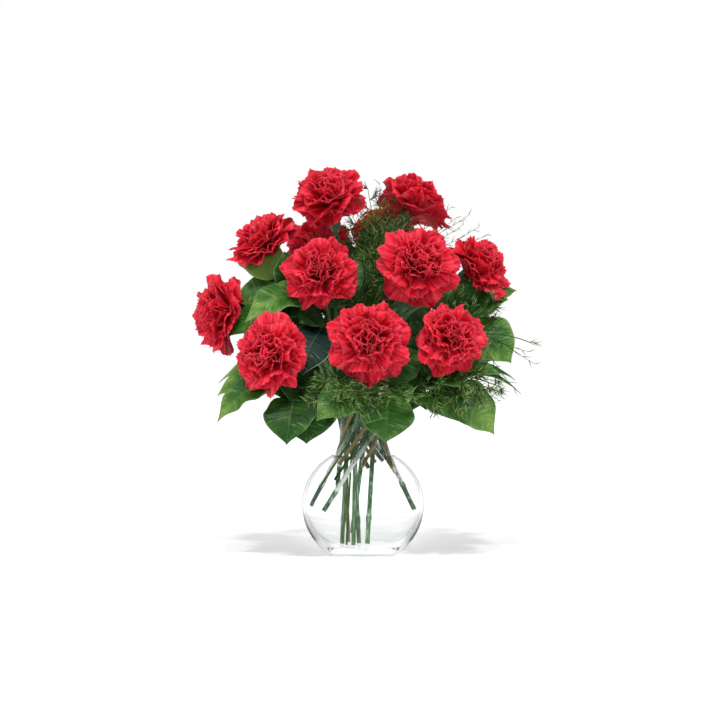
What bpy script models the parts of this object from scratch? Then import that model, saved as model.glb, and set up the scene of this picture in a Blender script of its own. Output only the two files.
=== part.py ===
"""A dozen carnations with leafy branches and fern in a clear glass globe vase.

Metres, +Z up. The origin is the centre of the vase's base, and -Y is the side that the blooms face.
"""

import math

import bmesh
import bpy
from mathutils import Matrix, Vector, geometry

GAP = 0.0003

# vase: a globe on a flat foot, with a short neck and a turned-out rim
GLOBE_RADIUS = 0.061
GLOBE_MID = 0.051
GLOBE_RISE = 0.057
GLOBE_DROP = 0.060
NECK_FOOT = 0.100
NECK_RADIUS = 0.0315
RIM_HEIGHT = 0.146
RIM_RADIUS = 0.0355
FLARE_HEIGHT = 0.010
WALL = 0.003
FLOOR = 0.008
FOOT_EDGE = 0.0015
FLAT_FLOOR = 0.5  # the floor inside is flat out to this share of the globe
GLOBE_STEPS = 6
VASE_SIDES = 36

# stems: each runs straight through the neck, all with the same twist, so that they cross without touching
WAIST = 0.121
NECK_EXIT = 0.150
OUTER_SLOPE = 0.70
BUNDLE_RING = 0.0056
BUNDLE_SLOPE = 0.06
BUNDLE_CENTRE = Vector((-0.0125, 0.0, 0.0))
MIDDLE_RING = 0.0045
MIDDLE_SLOPE = 0.38
MIDDLE_CENTRE = Vector((0.0065, 0.0, 0.0))
STEM_BEND = 0.42
CARNATION_STEM = 0.0023
CARNATION_STEPS = 8
CARNATION_STEM_SIDES = 8
BRANCH_STEM = 0.0018
BRANCH_TAPER = 0.3
BRANCH_STEPS = 10
BRANCH_SIDES = 6
MARCH = 0.00025
BELOW_NECK = 0.092
FOOT_GAP = 0.0005
SEAT_GAP = 0.0004

# bloom: a domed mass of petals on the mouth of its calyx
BLOOM_DEPTH = 0.044
BLOOM_CENTRE = 0.022
BLOOM_SIDES = 14
RUFFLE = 0.05
CALYX_LENGTH = 0.029
CALYX_SHAPE = ((0.0, 1.1), (0.06, 2.0), (0.3, 2.7), (0.75, 2.75), (1.0, 2.9))
BLOOM_SHAPE = (
    (0.00, 0.17),
    (0.16, 0.46),
    (0.32, 0.85),
    (0.48, 1.00),
    (0.66, 0.93),
    (0.84, 0.66),
    (0.97, 0.28),
)

# number, centre, heading and tilt of its face in degrees, radius, ring in the neck,
# place round that ring in degrees, and how far down to the glass the cut end reaches
CARNATIONS = (
    (1, (-0.033, 0.000, 0.363), 262, 44, 0.035, "bundle", 60, 1.00),
    (2, (0.056, 0.030, 0.358), 30, 48, 0.034, "bundle", 340, 1.00),
    (3, (-0.101, 0.000, 0.317), 205, 48, 0.035, "outer", 70, 0.55),
    (4, (-0.146, -0.008, 0.243), 192, 4, 0.037, "outer", 90, 0.40),
    (5, (-0.045, 0.080, 0.318), 105, 50, 0.035, "outer", 42, 1.00),
    (6, (-0.042, -0.060, 0.281), 263, 16, 0.035, "bundle", 240, 1.00),
    (7, (0.054, -0.060, 0.287), 277, 18, 0.038, "middle", 200, 1.00),
    (8, (0.121, 0.010, 0.292), 345, 35, 0.034, "outer", 294, 1.00),
    (9, (-0.090, -0.078, 0.201), 248, 6, 0.035, "outer", 131, 0.50),
    (10, (0.006, -0.096, 0.214), 272, 6, 0.038, "outer", 188, 0.75),
    (11, (0.085, -0.078, 0.216), 292, 8, 0.034, "outer", 231, 1.00),
    (12, (0.026, 0.086, 0.330), 70, 50, 0.034, "middle", 350, 1.00),
)

# leaf: a short stalk and an oval blade that comes to a point, folded a little along its midrib
STALK_SHARE = 0.18
STALK_HALF = 0.0008
LEAF_THICKNESS = 0.0012
LEAF_FOLD = 0.16
LEAF_ARCH = 0.12
LEAF_WIDEST = 0.4
LEAF_STATIONS = (0.0, 0.10, 0.26, 0.44, 0.62, 0.80, 0.93, 1.0)

# number, ring, place round it, reach, end of the branch, heading and tilt there, and its leaves:
# how far up the branch each starts, its tip, its width, and the heading and tilt of its upper face
BRANCHES = (
    (1, "outer", 110, 0.42, (-0.078, -0.010, 0.262), 165, 55, (
        (1.00, (-0.125, 0.024, 0.286), 0.042, 265, 30),
        (0.90, (-0.078, -0.022, 0.302), 0.036, 330, 20),
        (0.80, (-0.116, 0.006, 0.254), 0.038, 265, 45),
        (0.64, (-0.118, -0.030, 0.215), 0.040, 250, 50),
    )),
    (2, "bundle", 155, 1.00, (-0.036, -0.034, 0.250), 250, 60, (
        (1.00, (-0.110, -0.048, 0.232), 0.050, 265, 50),
        (0.84, (-0.052, -0.066, 0.184), 0.040, 255, 15),
    )),
    (3, "outer", 151, 0.42, (-0.070, -0.058, 0.170), 215, 20, (
        (1.00, (-0.140, -0.060, 0.135), 0.038, 250, 50),
        (0.80, (-0.143, -0.016, 0.172), 0.036, 235, 60),
        (0.88, (-0.085, -0.088, 0.120), 0.048, 245, 20),
        (0.68, (-0.069, -0.072, 0.113), 0.048, 262, 15),
    )),
    (4, "outer", 210, 0.45, (0.022, -0.066, 0.168), 285, 15, (
        (1.00, (0.023, -0.074, 0.117), 0.050, 284, 20),
        (0.80, (-0.044, -0.104, 0.138), 0.044, 262, 30),
        (0.70, (-0.040, -0.066, 0.142), 0.032, 255, 40),
    )),
    (5, "outer", 262, 0.40, (0.068, -0.046, 0.170), 330, 20, (
        (1.00, (0.128, -0.036, 0.122), 0.052, 290, 35),
        (0.88, (0.096, -0.084, 0.136), 0.044, 275, 35),
        (0.72, (0.156, -0.008, 0.162), 0.030, 320, 70),
        (0.56, (0.134, 0.004, 0.194), 0.034, 285, 45),
    )),
    (6, "outer", 314, 0.42, (0.098, 0.002, 0.232), 350, 45, (
        (1.00, (0.158, -0.006, 0.250), 0.036, 290, 50),
        (0.90, (0.152, -0.020, 0.200), 0.054, 285, 30),
        (0.85, (0.125, 0.055, 0.225), 0.046, 60, 50),
    )),
    (7, "outer", 20, 0.45, (0.000, 0.046, 0.255), 270, 70, (
        (1.00, (0.010, 0.020, 0.318), 0.040, 270, 20),
        (0.85, (0.060, 0.120, 0.215), 0.048, 60, 45),
        (0.72, (-0.060, 0.118, 0.200), 0.048, 120, 45),
        (0.58, (0.005, 0.125, 0.165), 0.050, 90, 40),
    )),
)

# fern: a thin stalk that carries two rows of side twigs
FERN_STEM = 0.0012
FERN_TAPER = 0.6
FERN_STEPS = 19
FERN_SECTION = ((0.75, -0.75), (0.75, 0.75), (-0.75, 0.75), (-0.75, -0.75))
FIRST_TWIG = 6
TWIG_LEAN = 0.55
TWIG_SWELL = (0.25, 0.95)
TWIG_SECTIONS = ((0.5, 0.5), (1.0, 0.25))
# number, ring, place round it, reach, tip, heading and tilt there, direction of one row, longest twig
FERNS = (
    (1, "bundle", 292, 1.00, (0.018, 0.004, 0.350), 70, 75, (1.0, 0.0, 0.0), 0.030),
    (2, "outer", 277, 0.60, (0.168, -0.060, 0.206), 340, -22, (0.0, 0.4, 0.9), 0.022),
    (3, "outer", 168, 0.60, (-0.020, -0.120, 0.166), 265, -20, (1.0, 0.0, 0.0), 0.030),
    (4, "outer", 247, 0.70, (0.128, -0.094, 0.170), 310, -15, (0.0, 0.4, 0.9), 0.020),
)


def clear_scene():
    for thing in list(bpy.data.objects):
        bpy.data.objects.remove(thing, do_unlink=True)


def finish(name, colour, roughness, metallic=0.0):
    found = bpy.data.materials.get(name)
    if found:
        return found
    material = bpy.data.materials.new(name)
    material.use_nodes = True
    shader = material.node_tree.nodes["Principled BSDF"]
    shader.inputs["Base Color"].default_value = (*colour, 1.0)
    shader.inputs["Roughness"].default_value = roughness
    shader.inputs["Metallic"].default_value = metallic
    return material


def clear_glass():
    return finish("clear_glass", (0.93, 0.96, 0.95), 0.03)


def crimson_petal():
    return finish("crimson_petal", (0.62, 0.01, 0.03), 0.55)


def stem_green():
    return finish("stem_green", (0.16, 0.28, 0.13), 0.5)


def branch_bark():
    return finish("branch_bark", (0.30, 0.24, 0.10), 0.6)


def glossy_leaf():
    return finish("glossy_leaf", (0.03, 0.13, 0.02), 0.35)


def fern_green():
    return finish("fern_green", (0.05, 0.17, 0.04), 0.6)


def add_object(name, data, material):
    thing = bpy.data.objects.new(name, data)
    data.materials.append(material)
    bpy.context.scene.collection.objects.link(thing)
    return thing


def loft(bm, rings):
    """Joins closed rings of equally many points and caps both ends. Returns the quads of each step."""
    rows = [[bm.verts.new(p) for p in ring] for ring in rings]
    count = len(rows[0])
    steps = []
    for low, high in zip(rows, rows[1:]):
        quads = [
            bm.faces.new((low[k], low[(k + 1) % count], high[(k + 1) % count], high[k]))
            for k in range(count)
        ]
        steps.append(quads)
    bm.faces.new(reversed(rows[0]))
    bm.faces.new(rows[-1])
    return steps


def lofted_object(name, rings, material):
    bm = bmesh.new()
    loft(bm, rings)
    bmesh.ops.recalc_face_normals(bm, faces=bm.faces)
    mesh = bpy.data.meshes.new(name)
    bm.to_mesh(mesh)
    bm.free()
    mesh.shade_smooth()
    return add_object(name, mesh, material)


def arc(radius, height, middle, start, end, steps):
    """Points of a quarter ellipse about (0, middle), as (distance from the axis, height)."""
    turns = [math.radians(start + (end - start) * k / steps) for k in range(steps + 1)]
    return [(radius * math.cos(a), middle + height * math.sin(a)) for a in turns]


def quarter_end(radius, at_radius):
    """The angle, in degrees, at which an ellipse of this radius has narrowed to at_radius."""
    return math.degrees(math.acos(at_radius / radius))


def half_height(radius, at_radius, reach):
    """The half height of the ellipse that narrows from radius to at_radius over reach."""
    return reach / math.sqrt(1.0 - (at_radius / radius) ** 2)


def inner_profile():
    """The inside of the vase, from the edge of its floor up to the rim."""
    radius = GLOBE_RADIUS - WALL
    floor_edge = radius * FLAT_FLOOR
    drop = half_height(radius, floor_edge, GLOBE_MID - FLOOR)
    rise = half_height(radius, NECK_RADIUS - WALL, NECK_FOOT - GLOBE_MID)
    lower = arc(radius, drop, GLOBE_MID, -quarter_end(radius, floor_edge), 0, GLOBE_STEPS)
    upper = arc(radius, rise, GLOBE_MID, 0, quarter_end(radius, NECK_RADIUS - WALL), GLOBE_STEPS)
    neck = [
        (NECK_RADIUS - WALL, RIM_HEIGHT - FLARE_HEIGHT),
        (RIM_RADIUS - WALL, RIM_HEIGHT - WALL / 2),
    ]
    return lower + upper[1:] + neck


def outer_profile():
    """The outside of the vase, from the rim down to the edge of its foot."""
    neck = [
        (RIM_RADIUS - WALL / 2, RIM_HEIGHT),
        (RIM_RADIUS, RIM_HEIGHT - WALL / 2),
        (NECK_RADIUS, RIM_HEIGHT - FLARE_HEIGHT),
    ]
    foot = GLOBE_RADIUS * math.sqrt(1.0 - (GLOBE_MID / GLOBE_DROP) ** 2)
    neck_angle = quarter_end(GLOBE_RADIUS, NECK_RADIUS)
    foot_angle = -quarter_end(GLOBE_RADIUS, foot + FOOT_EDGE)
    upper = arc(GLOBE_RADIUS, GLOBE_RISE, GLOBE_MID, neck_angle, 0, GLOBE_STEPS + 1)
    lower = arc(GLOBE_RADIUS, GLOBE_DROP, GLOBE_MID, 0, foot_angle, GLOBE_STEPS)
    return neck + upper + lower[1:] + [(foot, 0.0)]


def glass_vase():
    """The vase, turned from its half section."""
    outline = [(0.0, FLOOR)] + inner_profile() + outer_profile() + [(0.0, 0.0)]
    mesh = bpy.data.meshes.new("glass_vase")
    points = [(radius, 0.0, height) for radius, height in outline]
    mesh.from_pydata(points, [(k, k + 1) for k in range(len(points) - 1)], [])
    vase = add_object("glass_vase", mesh, clear_glass())
    screw = vase.modifiers.new("turned", "SCREW")
    screw.steps = VASE_SIDES
    screw.render_steps = VASE_SIDES
    screw.use_merge_vertices = True
    screw.merge_threshold = 0.00001
    screw.use_smooth_shade = True
    return vase


def wall_distance(point):
    """How far a point inside the vase is from the glass, and the direction to it."""
    radius = math.hypot(point.x, point.y)
    here = Vector((radius, point.z))
    outline = [Vector(p) for p in [(0.0, FLOOR)] + inner_profile()]
    nearest = None
    for low, high in zip(outline, outline[1:]):
        share = geometry.intersect_point_line(here, low, high)[1]
        spot = low.lerp(high, min(1.0, max(0.0, share)))
        if nearest is None or (spot - here).length < (nearest - here).length:
            nearest = spot
    flat = nearest - here
    outward = Vector((point.x, point.y, 0.0)).normalized() if radius > 0 else Vector((1, 0, 0))
    return flat.length, (outward * flat.x + Vector((0, 0, flat.y))).normalized()


def leaning_ring(thickness):
    """The radius at the waist of stems that lean on the glass where the neck meets the globe."""
    touch = (NECK_RADIUS - WALL) * math.cos(math.pi / VASE_SIDES) - SEAT_GAP - thickness
    return math.sqrt(touch ** 2 - (OUTER_SLOPE * (WAIST - NECK_FOOT)) ** 2)


def neck_line(ring, place, thickness):
    """A point at the waist of the neck and the direction up the stem that passes through it."""
    radius, slope, centre = {
        "outer": (leaning_ring(thickness), OUTER_SLOPE, Vector((0, 0, 0))),
        "bundle": (BUNDLE_RING, BUNDLE_SLOPE, BUNDLE_CENTRE),
        "middle": (MIDDLE_RING, MIDDLE_SLOPE, MIDDLE_CENTRE),
    }[ring]
    angle = math.radians(place)
    start = centre + Vector((radius * math.cos(angle), radius * math.sin(angle), WAIST))
    climb = Vector((-slope * math.sin(angle), slope * math.cos(angle), 1.0))
    return start, climb


def foot_of(start, climb, thickness, reach):
    """The stem's cut end: down its line, the given share of the way to the glass."""
    along = -climb.normalized()
    point = start.copy()
    while True:
        ahead = point + along * MARCH
        room, toward = wall_distance(ahead)
        edge = thickness * math.sqrt(max(0.0, 1.0 - toward.dot(along) ** 2))
        if ahead.z < BELOW_NECK and room < edge + FOOT_GAP:
            return start.lerp(point, reach)
        point = ahead


def bezier(a, b, c, d, steps):
    """Points of a smooth bend from a to d that leaves toward b and arrives from c."""
    return [Vector(p) for p in geometry.interpolate_bezier(a, b, c, d, steps)]


def stem_path(ring, place, reach, thickness, end, arrival, steps):
    """From the cut end in the vase, straight through the neck, then in a bend to the bloom or tip."""
    start, climb = neck_line(ring, place, thickness)
    foot = foot_of(start, climb, thickness, reach)
    leave = start + climb * (NECK_EXIT - WAIST)
    span = (end - leave).length * STEM_BEND
    curve = bezier(leave, leave + climb.normalized() * span, end - arrival * span, end, steps)
    return [foot, start] + curve


def frames(path):
    """A direction and two square axes at each point, turned as little as possible along the way."""
    directions = []
    for k in range(len(path)):
        before = path[max(0, k - 1)]
        after = path[min(len(path) - 1, k + 1)]
        directions.append((after - before).normalized())
    side = directions[0].orthogonal().normalized()
    result = []
    for direction in directions:
        side = (side - direction * side.dot(direction)).normalized()
        result.append((direction, side, direction.cross(side)))
    return result


def tube_rings(path, radii, sides):
    """A ring of points square to the path at each of its points."""
    rings = []
    for point, radius, (_, side, up) in zip(path, radii, frames(path)):
        turns = [2 * math.pi * k / sides for k in range(sides)]
        rings.append([point + (side * math.cos(a) + up * math.sin(a)) * radius for a in turns])
    return rings


def heading(azimuth, tilt):
    """The direction at an azimuth from +X and a tilt above the horizontal, both in degrees."""
    a, t = math.radians(azimuth), math.radians(tilt)
    return Vector((math.cos(t) * math.cos(a), math.cos(t) * math.sin(a), math.sin(t)))


def carnation(number, centre, azimuth, tilt, radius, ring, place, reach):
    """A stem that swells into its calyx, and the bloom that sits on the calyx."""
    face = heading(azimuth, tilt)
    mouth = Vector(centre) - face * BLOOM_CENTRE
    calyx_foot = mouth - face * CALYX_LENGTH
    path = stem_path(ring, place, reach, CARNATION_STEM, calyx_foot, face, CARNATION_STEPS)
    radii = [CARNATION_STEM] * len(path)
    calyx = [(calyx_foot + face * CALYX_LENGTH * share, size) for share, size in CALYX_SHAPE]
    path = path[:-1] + [point for point, _ in calyx]
    radii = radii[:-1] + [CARNATION_STEM * size for _, size in calyx]
    outline = tube_rings(path, radii, CARNATION_STEM_SIDES)
    lofted_object(f"carnation_{number:02d}_stem", outline, stem_green())

    across = face.orthogonal().normalized()
    other = face.cross(across)
    rings = []
    for level, (share, size) in enumerate(BLOOM_SHAPE):
        ring_points = []
        for k in range(BLOOM_SIDES):
            angle = 2 * math.pi * k / BLOOM_SIDES
            swell = radius * size * (1 + RUFFLE * (-1) ** (k + level))
            height = GAP + BLOOM_DEPTH * share
            ring_points.append(
                mouth + face * height + (across * math.cos(angle) + other * math.sin(angle)) * swell
            )
        rings.append(ring_points)
    lofted_object(f"carnation_{number:02d}_bloom", rings, crimson_petal())


def blade_half(share, width):
    """Half the width of the leaf at a share of its length: the stalk, then the oval of the blade."""
    along = (share - STALK_SHARE) / (1 - STALK_SHARE)
    if along <= 0:
        return STALK_HALF
    opening = (along / LEAF_WIDEST) ** (1.5 * LEAF_WIDEST)
    closing = ((1 - along) / (1 - LEAF_WIDEST)) ** (1.5 * (1 - LEAF_WIDEST))
    return max(STALK_HALF * (1.1 - share), width / 2 * opening * closing)


def leaf(name, start, leaving, tip, width, azimuth, tilt):
    """A leaf from its seat on the branch, which it leaves square, to its tip."""
    face = heading(azimuth, tilt)
    span = (tip - start).length
    middle = start.lerp(tip, 0.5) + face * span * 2 * LEAF_ARCH
    shares = [0.0] + [STALK_SHARE + (1 - STALK_SHARE) * u for u in LEAF_STATIONS]
    path = [start * (1 - t) ** 2 + middle * 2 * t * (1 - t) + tip * t ** 2 for t in shares]
    rings = []
    directions = [leaving] + [along for along, _, _ in frames(path)[1:]]
    for share, point, along in zip(shares, path, directions):
        side = along.cross(face).normalized()
        normal = side.cross(along)
        half = blade_half(share, width)
        on_blade = share > STALK_SHARE
        lift = normal * half * (LEAF_FOLD if on_blade else 0.0)
        thick = normal * (LEAF_THICKNESS / 2 * (1.3 - share) if on_blade else STALK_HALF)
        left = point + side * half + lift
        right = point - side * half + lift
        rings.append([left, point + thick, right, point - thick])
    lofted_object(name, rings, glossy_leaf())


def branch(number, ring, place, reach, end, azimuth, tilt, leaves):
    """A woody stem that thins toward its end, and the leaves that grow from it."""
    arrival = heading(azimuth, tilt)
    path = stem_path(ring, place, reach, BRANCH_STEM, Vector(end), arrival, BRANCH_STEPS)
    free = path[2:]
    last = len(free) - 1
    radii = [BRANCH_STEM] * 2
    radii += [BRANCH_STEM * (1 - BRANCH_TAPER * k / last) for k in range(last + 1)]
    lofted_object(f"leafy_branch_{number}", tube_rings(path, radii, BRANCH_SIDES), branch_bark())
    for letter, (share, tip, width, face, lift) in zip("abcd", leaves):
        place_on = share * last
        low = min(int(place_on), last - 1)
        spot = free[low].lerp(free[low + 1], place_on - low)
        along = (free[low + 1] - free[low]).normalized()
        tip = Vector(tip)
        if share >= 1.0:
            out = along
            start = spot + out * GAP
        else:
            out = tip - spot
            out = (out - along * out.dot(along)).normalized()
            start = spot + out * (BRANCH_STEM * (1 - BRANCH_TAPER * share) + GAP)
        leaf(f"leaf_{number}{letter}", start, out, tip, width, face, lift)


def grow_twig(bm, quad, target):
    """Draws one side face of the stalk out into a twig that ends at target."""
    root = quad.calc_center_median()
    for share, size in TWIG_SECTIONS:
        quad = bmesh.ops.extrude_discrete_faces(bm, faces=[quad])["faces"][0]
        centre = quad.calc_center_median()
        goal = root.lerp(target, share)
        for vert in quad.verts:
            vert.co = goal + (vert.co - centre) * size


def fern(number, ring, place, reach, tip, azimuth, tilt, row, longest):
    """A square stalk with twigs drawn out of its two sides in turn, longest below the middle."""
    arrival = heading(azimuth, tilt)
    path = stem_path(ring, place, reach, FERN_STEM, Vector(tip), arrival, FERN_STEPS)
    radii = [FERN_STEM * (1 - FERN_TAPER * k / len(path)) for k in range(len(path))]
    rings = []
    sides = []
    for point, radius, (along, _, _) in zip(path, radii, frames(path)):
        side = Vector(row)
        side = (side - along * side.dot(along)).normalized()
        up = along.cross(side)
        rings.append([point + (side * a + up * b) * radius for a, b in FERN_SECTION])
        sides.append((along, side))
    bm = bmesh.new()
    steps = loft(bm, rings)
    bmesh.ops.recalc_face_normals(bm, faces=bm.faces)
    free = list(range(FIRST_TWIG, len(steps) - 1))
    for order, k in enumerate(free):
        along, side = sides[k]
        swell = TWIG_SWELL[0] + (TWIG_SWELL[1] - TWIG_SWELL[0]) * order / (len(free) - 1)
        length = longest * math.sin(math.pi * swell)
        sign, quad = (1, steps[k][0]) if order % 2 else (-1, steps[k][2])
        root = quad.calc_center_median()
        grow_twig(bm, quad, root + side * sign * length + along * length * TWIG_LEAN)
    mesh = bpy.data.meshes.new(f"fern_spray_{number}")
    bm.to_mesh(mesh)
    bm.free()
    add_object(f"fern_spray_{number}", mesh, fern_green())


def main():
    clear_scene()
    glass_vase()
    for row in CARNATIONS:
        carnation(*row)
    for row in BRANCHES:
        branch(*row)
    for row in FERNS:
        fern(*row)


main()
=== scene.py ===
"""Carnations, leafy branches and fern in a clear globe vase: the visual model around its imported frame."""

import math
import random

import bmesh
import bpy
from bpy.props import FloatProperty, FloatVectorProperty, IntProperty, PointerProperty
from mathutils import Matrix, Quaternion, Vector, geometry


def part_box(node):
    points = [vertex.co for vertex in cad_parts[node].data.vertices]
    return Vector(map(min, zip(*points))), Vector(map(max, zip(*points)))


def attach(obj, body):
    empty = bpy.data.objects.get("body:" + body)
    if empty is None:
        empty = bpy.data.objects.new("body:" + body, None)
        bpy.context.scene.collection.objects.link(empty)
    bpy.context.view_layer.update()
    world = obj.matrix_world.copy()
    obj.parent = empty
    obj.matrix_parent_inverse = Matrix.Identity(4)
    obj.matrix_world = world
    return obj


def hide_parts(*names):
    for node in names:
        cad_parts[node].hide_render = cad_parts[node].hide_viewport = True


bl_info = {
    "name": "Carnations in a Globe Vase",
    "version": (1, 0, 0),
    "blender": (4, 5, 0),
    "location": "View3D > Sidebar > Bouquet",
    "description": "Grows carnations, leaves and fern on the frame of a bouquet and turns its glass vase",
    "category": "Object",
}

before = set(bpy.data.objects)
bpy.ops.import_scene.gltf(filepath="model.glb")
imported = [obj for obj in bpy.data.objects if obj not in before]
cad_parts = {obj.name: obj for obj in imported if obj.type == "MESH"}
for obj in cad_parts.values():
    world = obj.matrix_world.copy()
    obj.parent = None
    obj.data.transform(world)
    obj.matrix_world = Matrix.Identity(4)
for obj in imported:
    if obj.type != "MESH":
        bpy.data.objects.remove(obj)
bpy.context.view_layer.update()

DOWN = Vector((0.0, 0.0, -1.0))
GOLDEN_TURN = 2.39996

# the gap between a branch's end and the stalk of its end leaf
GAP = 0.0003
# the height from which the stems are free of the neck, and the heights of the narrow leaves inside it
FREE_OF_NECK = 0.165
BLADE_HEIGHTS = (0.100, 0.109, 0.118, 0.127, 0.136)
# the calyx, and its profile: share of its length, and its radius there in stem radii
CALYX_LENGTH = 0.029
CALYX_MOUTH = 0.0066
CALYX_PROFILE = ((0.05, 1.9), (0.16, 2.45), (0.35, 2.72), (0.6, 2.78), (0.85, 2.78), (1.0, 2.9))
# how far a bloom's centre lies above the calyx's mouth, and how far its petals reach past its radius
BLOOM_CENTRE = 0.022
BLOOM_PROUD = 0.0015
# steps along a leaf's stalk and along its midrib, and points along a side spray of a fern
STALK_STEPS = 6
RIB_STEPS = 12
FORK_POINTS = 12

# number, centre of the bloom, heading and tilt of its face in degrees, radius,
# ring in the neck, place round that ring in degrees
CARNATIONS = (
    (1, (-0.033, 0.000, 0.363), 262, 44, 0.0345, "bundle", 60),
    (2, (0.056, 0.030, 0.358), 30, 48, 0.034, "bundle", 340),
    (3, (-0.101, 0.000, 0.317), 205, 48, 0.035, "outer", 70),
    (4, (-0.146, -0.008, 0.243), 200, 4, 0.036, "outer", 90),
    (5, (-0.045, 0.080, 0.318), 105, 50, 0.035, "outer", 42),
    (6, (-0.042, -0.060, 0.281), 263, 16, 0.0335, "bundle", 240),
    (7, (0.054, -0.060, 0.287), 277, 18, 0.0368, "middle", 200),
    (8, (0.121, 0.010, 0.292), 345, 35, 0.034, "outer", 294),
    (9, (-0.090, -0.078, 0.201), 248, 6, 0.035, "outer", 131),
    (10, (0.006, -0.096, 0.214), 272, 6, 0.035, "outer", 188),
    (11, (0.085, -0.078, 0.216), 292, 8, 0.0332, "outer", 231),
    (12, (0.026, 0.086, 0.330), 70, 50, 0.034, "middle", 350),
)

# number, ring, place round it, end of the branch, heading and tilt there, and its leaves:
# letter, how far up the branch it starts, its tip, its width, heading and tilt of its upper face,
# its age from 0 to 1, or below 0 for a bluish leaf
BRANCHES = (
    (1, "outer", 110, (-0.078, -0.010, 0.262), 165, 55, (
        ("a", 1.00, (-0.129, 0.014, 0.306), 0.046, 262, 45, 1.00),
        ("b", 0.90, (-0.078, -0.022, 0.302), 0.036, 290, 20, 0.10),
        ("c", 0.80, (-0.122, 0.006, 0.254), 0.040, 265, 45, 0.38),
        ("d", 0.64, (-0.118, -0.030, 0.215), 0.040, 250, 50, 0.15),
    )),
    (2, "bundle", 155, (-0.036, -0.034, 0.250), 250, 60, (
        ("a", 1.00, (-0.114, -0.048, 0.231), 0.044, 265, 50, 0.52),
        ("b", 0.84, (-0.058, -0.068, 0.180), 0.046, 262, 15, -0.90),
    )),
    (3, "outer", 151, (-0.070, -0.058, 0.170), 215, 20, (
        ("a", 1.00, (-0.140, -0.060, 0.135), 0.038, 250, 50, 0.45),
        ("b", 0.80, (-0.143, -0.016, 0.172), 0.036, 235, 60, 0.60),
        ("c", 0.88, (-0.072, -0.088, 0.115), 0.052, 254, 20, 0.08),
        ("d", 0.68, (-0.054, -0.072, 0.115), 0.058, 266, 15, 0.10),
    )),
    (4, "outer", 210, (0.022, -0.066, 0.168), 285, 15, (
        ("a", 1.00, (0.021, -0.074, 0.116), 0.052, 278, 20, 0.42),
        ("b", 0.80, (-0.044, -0.104, 0.138), 0.044, 262, 30, 0.30),
        ("c", 0.70, (-0.040, -0.066, 0.142), 0.032, 255, 40, 0.10),
    )),
    (5, "outer", 262, (0.068, -0.046, 0.170), 330, 20, (
        ("a", 1.00, (0.128, -0.036, 0.122), 0.048, 282, 30, 0.50),
        ("b", 0.88, (0.096, -0.084, 0.134), 0.054, 275, 35, 0.25),
        ("c", 0.72, (0.157, -0.008, 0.161), 0.015, 320, 60, 0.15),
        ("d", 0.56, (0.134, 0.004, 0.194), 0.034, 285, 45, 0.50),
    )),
    (6, "outer", 314, (0.098, 0.002, 0.232), 350, 45, (
        ("a", 1.00, (0.156, 0.022, 0.265), 0.036, 285, 50, 0.45),
        ("b", 0.90, (0.146, -0.020, 0.192), 0.058, 285, 28, 0.46),
        ("c", 0.85, (0.125, 0.055, 0.225), 0.046, 60, 50, 0.40),
    )),
    (7, "outer", 20, (0.000, 0.046, 0.255), 270, 70, (
        ("a", 1.00, (0.010, 0.020, 0.318), 0.040, 270, 20, 0.20),
        ("b", 0.85, (0.060, 0.120, 0.215), 0.048, 60, 45, 0.50),
        ("c", 0.72, (-0.060, 0.118, 0.200), 0.048, 120, 45, 0.60),
        ("d", 0.58, (0.005, 0.125, 0.165), 0.050, 90, 40, 0.40),
    )),
)

# number, ring, place round it, tip, heading and tilt there, direction of the twig rows, longest twig, twigs
FERNS = (
    (1, "bundle", 292, (0.018, 0.004, 0.350), 70, 75, (1.0, 0.0, 0.0), 0.036, 22),
    (2, "outer", 277, (0.160, -0.060, 0.212), 340, -22, (0.0, 0.4, 0.9), 0.026, 3),
    (3, "outer", 168, (-0.020, -0.120, 0.166), 265, -20, (1.0, 0.0, 0.0), 0.028, 18),
    (4, "outer", 247, (0.128, -0.094, 0.170), 310, -15, (0.0, 0.4, 0.9), 0.024, 18),
)

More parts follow.
